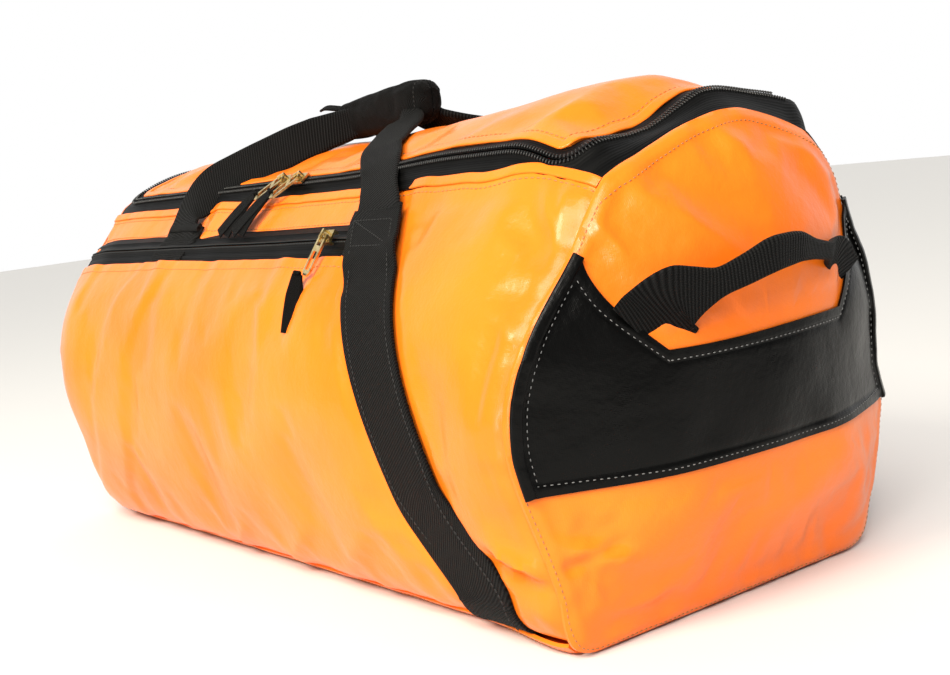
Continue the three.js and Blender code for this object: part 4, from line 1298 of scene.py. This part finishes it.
def handle_line():
    """Centre line of the front carry handle, and each point's share of the way up its leg."""
    low_foot, high_foot = skin(0.0, 24 - ANCHOR_S, 2.0), skin(0.0, 2 - ANCHOR_S, 3.4)
    tucked = skin(0.0, 16 - ANCHOR_S, -0.55)
    right = [(136, *low_foot[1:]), (STRAP_TOP_X, *high_foot[1:]), *RIGHT_LEG]
    left = [(-141, *tucked[1:]), (-STRAP_TOP_X - 6, *high_foot[1:]), *LEFT_LEG]
    line = smooth_line(right + IN_GRIP + left[::-1], 2.0)
    heights = [low_foot[2], high_foot[2], 256, 285, 300, 308]
    return line, np.interp(line[:, 2], heights, [0, 0.12, 0.3, 0.6, 0.85, 1])


def build_handle(facing):
    """A carry handle's webbing, turned on edge inside the grip. The back one mirrors the front."""
    place = "front" if facing < 0 else "back"
    line, high = handle_line()
    side = np.where(line[:, 0] < 5, -1.0, 1.0)[:, None]
    turn = ease((high - 0.86) / 0.14)[:, None]
    leaning = ease((high - 0.2) / 0.3)[:, None] * (side < 0)
    flat = np.array([1.0, 0, 0]) * (1 - leaning) + np.array([0.5, 0.1, -0.85]) * leaning
    across = unit(flat * (1 - turn) + np.array([0, 0, 1.0]) * side * turn)
    half = np.interp(high, [0, 0.12, 0.3, 0.6, 0.85, 1], [24, 23, 17, 16, 15, 10.5])
    thick = np.interp(high, [0, 0.2, 0.6, 1], [1.2, 1.3, 1.7, 3.2])
    mirror = [1, -facing, 1]
    piece = band(f"{place}_handle", line * mirror, across * mirror, half, thick, HANDLE_WEBBING, flats=12)
    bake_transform(piece)
    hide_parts(f"{place}_handle_webbing")


def build_anchor(end, facing):
    """The strap's folded top edge, stitched down over the foot of a handle leg."""
    name = f"{'right' if end > 0 else 'left'}_{'front' if facing < 0 else 'back'}"
    x = end * strap_centre(ANCHOR_S) + np.linspace(-24.0, 24.0, 25)
    fold_s = facing * (ANCHOR_S + 1.0 + 0.7 * ripple(x / 9, end * 3.0, 95))
    across = skin(x, fold_s + 1, 0) - skin(x, fold_s, 0)
    fold = band(f"strap_fold_{name}", skin(x, fold_s, 5.0), across, 3.4, 1.5, WEBBING, flats=5)
    fit_out(fold, "bag", "webbing")
    if end < 0 and facing < 0:
        return
    half = WEBBING_HALF - 4
    box = [(-half, 0), (half, 0), (half, -18), (-half, -18), (-half, 0), (half, -18)]
    route = resample(np.array(box, float), 1.0)
    row_s = facing * (ANCHOR_S - 4 + route[:, 1])
    row = skin(end * strap_centre(row_s) + route[:, 0], row_s, strap_lift(end, row_s) + 1.3)
    up = outward(0.0, row_s, 8.0)
    stitches(f"strap_box_stitching_{name}", row, up, "bag", BLACK_THREAD, *BOX_STITCH)


def build_grip(facing):
    """One half of the padded wrap round the two handles, which tapers to the left."""
    place = "front" if facing < 0 else "back"
    x = spaced(GRIP_LEFT, GRIP_RIGHT, 1.6)[:, None]
    turn = np.linspace(math.pi / 2, -math.pi / 2, 40)[None, :]
    taper = (x - 3.5) / 57.5
    end_gap = np.minimum(x - GRIP_LEFT, GRIP_RIGHT - x)
    plump = 1 - 0.16 * (1 - ease(end_gap / 14)) - 0.05 * near(x, -18, 9) - 0.04 * near(x, 30, 8)
    plump = plump * (1 - 0.42 * (1 - np.minimum(1, end_gap / 5)) ** 2)
    plump = plump * (1 - 0.2 * (1 - ease((GRIP_RIGHT - x) / 28)))
    wave = 0.9 * ripple(x / 14, turn * 2.2 + 7 * facing, 91) + 0.4 * ripple(x / 6, turn * 4, 93)
    depth = 13.2 * plump + wave
    tall = (15.4 + 2.0 * taper) * plump + 0.8 * ripple(x / 17, turn * 1.5, 92)
    y = 0.5 + depth * np.abs(np.cos(turn)) ** 0.6
    z = GRIP_Z + 3.2 * taper + tall * np.sign(np.sin(turn)) * np.abs(np.sin(turn)) ** 0.7
    grid = np.stack([np.broadcast_to(x, y.shape), facing * y, z], -1)
    flat = np.linspace(0, 1, 7)[1:-1][None, :, None]
    closing = grid[:, -1:] * (1 - flat) + grid[:, :1] * flat
    whole = np.concatenate([grid, closing], 1)
    rows, columns = whole.shape[:2]
    faces = [tuple(f) for f in grid_faces(rows, columns, wrap=True)]
    faces += [tuple(range(columns)), tuple(range((rows - 1) * columns, rows * columns))]
    uv = np.stack(np.broadcast_arrays(x, np.linspace(0, 60, columns)[None, :]), -1)
    piece = make_piece(f"{place}_grip", whole.reshape(-1, 3), faces, uv.reshape(-1, 2), GRIP)
    fit_out(piece, f"{place}_handle", "webbing", f"{place}_grip_pad")
    for edge, at in (("left", 8.0), ("right", 107.0)):
        row = int(round(at / (GRIP_RIGHT - GRIP_LEFT) * (len(x) - 1)))
        line = grid[row]
        up = line - np.array([line[0, 0], 0, GRIP_Z])
        name, body = f"{place}_grip_stitching_{edge}", f"{place}_handle"
        stitches(name, line, up, body, BLACK_THREAD, *GRIP_STITCH)
    if facing < 0:
        tail = smooth_line([(-44, -9, 318), (-54, -12, 320), (-62, -13, 321.5), (-66, -12, 320)], 1.5)
        flap = band("grip_tail", tail, [0, 0.9, 0.45], 3.2, 1.0, GRIP, flats=5)
        fit_out(flap, "front_handle", "webbing")


# ---- End handles -----------------------------------------------------------------------------------
def build_end_handle(end):
    """Folded webbing that comes out from under the patch's slanting edges and stands off as a loop."""
    hand = "right" if end > 0 else "left"

    def against(y, z, lift):
        return list(on_end(end, y, z, lift) * [end, 1, 1])

    # Each station is its middle, its half width as a vector across y and z, and its half thickness.
    places = [
        [*against(-85, 169, -0.6), -21.5, 16, 0.5],
        [*against(-78, 178.5, 1.2), -21.5, 16, 1.0],
        [348, -70.5, 184.6, -16.2, 15.8, 1.3],
        [352.5, -60, 187.7, -8.5, 11.8, 1.8],
        [358, -45.6, 190.6, -2.2, 7.2, 2.6],
        [364, -30, 195.7, -2.6, 8.2, 3.0],
        [369, -15, 201.4, 1.2, 9.6, 3.2],
        [368, 6.6, 202.6, 1.0, 8.6, 3.2],
        [361, 27.8, 198.2, 0.6, 5.8, 2.8],
        [354, 49, 194.5, 1.0, 5.2, 2.6],
        [*against(66, 191, 3.2), 5, 8.5, 2.0],
        [*against(77, 186, 1.6), 11, 14, 1.2],
        [*against(85, 174, -0.6), 16, 16, 0.5],
    ]
    rows = smooth_line(places, 2.2, rounds=1)
    line = rows[:, :3] * [end, 1, 1]
    width = np.stack([0 * rows[:, 3], rows[:, 3], rows[:, 4]], -1)
    half = np.linalg.norm(width, axis=-1)
    piece = band(f"end_handle_{hand}_webbing", line, width, half, rows[:, 5], HANDLE_WEBBING, flats=14)
    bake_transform(piece)
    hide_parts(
        f"end_handle_{hand}",
        f"end_handle_anchor_{hand}_front",
        f"end_handle_anchor_{hand}_back",
    )


# ---- Zip pulls ---------------------------------------------------------------------------------------
EDGE_ROUNDING = 0.35


def finish_metal(node):
    """Keep a CAD fitting's shape, and round its edges."""
    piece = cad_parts[node]
    piece.data.materials.clear()
    piece.data.materials.append(BRASS)
    rounding = piece.modifiers.new("rounded_edges", "BEVEL")
    rounding.width = EDGE_ROUNDING * MM
    rounding.segments = 2
    rounding.limit_method = "ANGLE"
    rounding.angle_limit = math.radians(30)


# The way out from the bag at each pull, and its two tails: layer, share of the CAD length, sweep.
RIBBON_OUT = {"pocket": (0.55, -0.8, 0.25), "main": (0.3, -0.62, 0.72)}
RIBBON_TAILS = {
    "pocket": ((0.0, 0.66, 1.0), (-1.0, 0.58, 17.0)),
    "main": ((0.0, 1.0, 0.0), (-1.0, 0.86, 8.0)),
}
RIBBON_THICK = 0.55
RIBBON_LAP = 3  # the tails reach this far back through the tab's window


def build_ribbon(name):
    """A folded ribbon through the tab's window, with two loose tails."""
    node = f"{name}_pull_ribbon"
    kind = name.split("_")[0]
    co = np.array([v.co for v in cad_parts[node].data.vertices]) / MM
    order = np.argsort(-co[:, 2])
    top = co[order[:4]].mean(0)
    tip = co[order[-4:]].mean(0)
    away = unit(np.array(RIBBON_OUT[kind]))
    down = unit(tip - top)
    sideways = unit(np.cross(down, away))
    length = np.linalg.norm(tip - top)
    pieces = []
    for k, (layer, reach, sweep) in enumerate(RIBBON_TAILS[kind]):
        t = np.linspace(0, 1, 30)[:, None]
        line = top - down * RIBBON_LAP + down * (length * reach + RIBBON_LAP) * t
        line = line + away * (0.9 * layer + 0.8 * np.sin(np.pi * t)) - sideways * (sweep * t**2)
        half = np.interp(t[:, 0], [0, 0.35, 1], [3.6, 5.2, 5.2])
        tail = band(f"{name}_tail_{k}", line, sideways, half, RIBBON_THICK, RIBBON, flats=6, turns=3)
        pieces.append(tail)
    ring = np.linspace(-0.5 * math.pi, 0.5 * math.pi, 12)[:, None]
    loop = top - down * RIBBON_LAP - down * (2.0 * np.cos(ring)) + away * (1.6 * np.sin(ring) + 0.4)
    pieces.append(band(f"{name}_loop", loop, sideways, 2.4, RIBBON_THICK, RIBBON, flats=6, turns=3))
    fit_out(join_pieces(f"{name}_ribbon", pieces), node, "webbing", node)


# ---- Put it together -----------------------------------------------------------------------------------
build_wrap()
build_base()
build_pocket()
for end_sign in (1, -1):
    build_end(end_sign)
    build_patch(end_sign)
    build_strap(end_sign)
    build_end_handle(end_sign)
build_pocket_zip()
build_zip_band(1)
build_zip_band(-1)
build_zip_stop(1)
build_zip_stop(-1)
build_lid()
build_hems()
for facing_sign in (-1, 1):
    build_anchor(1, facing_sign)
    build_anchor(-1, facing_sign)
    build_handle(facing_sign)
    build_grip(facing_sign)
for pull in ("main_left", "main_right", "pocket"):
    finish_metal(f"{pull}_slider")
    finish_metal(f"{pull}_pull_tab")
    build_ribbon(pull)


# ---- Floor, light and camera -------------------------------------------------------------------------
def build_floor():
    """A pale floor, far larger than the view. It is staging, not a piece of the bag."""
    mesh = bpy.data.meshes.new("floor")
    corners = [(-6, -6, 0), (6, -6, 0), (6, 6, 0), (-6, 6, 0)]
    mesh.from_pydata(corners, [], [(0, 1, 2, 3)])
    shader = Shader("pale_floor")
    shader.set(Base_Color=grey(0.7), Roughness=0.8, Specular_IOR_Level=0.1)
    mesh.materials.append(shader.material)
    floor = bpy.data.objects.new("floor", mesh)
    bpy.context.scene.collection.objects.link(floor)


def area_light(name, place, target, size, power, colour):
    """A rectangular light at a place, turned to face a target."""
    data = bpy.data.lights.new(name, "AREA")
    data.shape = "RECTANGLE"
    data.size, data.size_y = size
    data.energy = power
    data.color = colour
    lamp = bpy.data.objects.new(name, data)
    lamp.location = place
    lamp.rotation_euler = (Vector(target) - Vector(place)).to_track_quat("-Z", "Y").to_euler()
    bpy.context.scene.collection.objects.link(lamp)


# Each area light: place, target, size across and up, power and colour.
AREA_LIGHTS = {
    "key": ((0.25, -1.95, 1.6), (0.15, 0, 0.15), (0.8, 0.6), 50, (1.0, 0.92, 0.76)),
    "window": ((1.55, -1.1, 1.35), (0.33, 0, 0.2), (0.35, 0.5), 17, (1.0, 0.96, 0.88)),
    "strip": ((0.95, -1.6, 0.25), (0.33, -0.1, 0.15), (0.14, 0.7), 6, (0.88, 0.94, 1.0)),
}


def build_light():
    """A warm key light in front of the bag, a smaller light and a low strip off its front right
    corner, a hazy sun, and surroundings that are white behind the bag and dim behind the camera."""
    world = bpy.data.worlds.new("studio")
    world.use_nodes = True
    nodes, links = world.node_tree.nodes, world.node_tree.links
    direction = nodes.new("ShaderNodeTexCoord")
    facing = nodes.new("ShaderNodeVectorMath")
    facing.operation = "DOT_PRODUCT"
    facing.inputs[1].default_value = (-0.80, 0.60, 0.0)
    strength = nodes.new("ShaderNodeMapRange")
    strength.interpolation_type = "SMOOTHSTEP"
    for name, value in (("From Min", 0.1), ("From Max", 0.6), ("To Min", 0.2), ("To Max", 1.0)):
        strength.inputs[name].default_value = value
    links.new(direction.outputs["Generated"], facing.inputs[0])
    links.new(facing.outputs["Value"], strength.inputs["Value"])
    links.new(strength.outputs["Result"], nodes["Background"].inputs["Strength"])
    nodes["Background"].inputs["Color"].default_value = (1.0, 1.0, 1.0, 1.0)
    bpy.context.scene.world = world
    for name, values in AREA_LIGHTS.items():
        area_light(name, *values)
    sun = bpy.data.lights.new("daylight", "SUN")
    sun.energy = 2.7
    sun.angle = math.radians(35)
    sun.color = (1.0, 0.95, 0.86)
    lamp = bpy.data.objects.new("daylight", sun)
    lamp.rotation_euler = Vector((-0.42, 0.62, -0.85)).to_track_quat("-Z", "Y").to_euler()
    bpy.context.scene.collection.objects.link(lamp)
    bpy.context.scene.view_settings.view_transform = "Standard"


CAMERA_PLACE = (0.8628, -0.5863, 0.2682)
CAMERA_FORWARD = (-0.79509, 0.59352, -0.12477)
CAMERA_ROLL = math.radians(-6.73)
CAMERA_LENS = 53.05


def build_camera():
    """The camera stands level with the lid, off the bag's front right corner, tilted a little."""
    data = bpy.data.cameras.new("camera")
    data.sensor_width = 36.0
    data.lens = CAMERA_LENS
    camera = bpy.data.objects.new("camera", data)
    forward = Vector(CAMERA_FORWARD).normalized()
    level = forward.cross(Vector((0, 0, 1))).normalized()
    upright = level.cross(forward)
    right = level * math.cos(CAMERA_ROLL) + upright * math.sin(CAMERA_ROLL)
    up = right.cross(forward)
    place = Matrix((right, up, -forward)).transposed().to_4x4()
    place.translation = Vector(CAMERA_PLACE)
    camera.matrix_world = place
    bpy.context.scene.collection.objects.link(camera)
    bpy.context.scene.camera = camera


build_floor()
build_light()
build_camera()
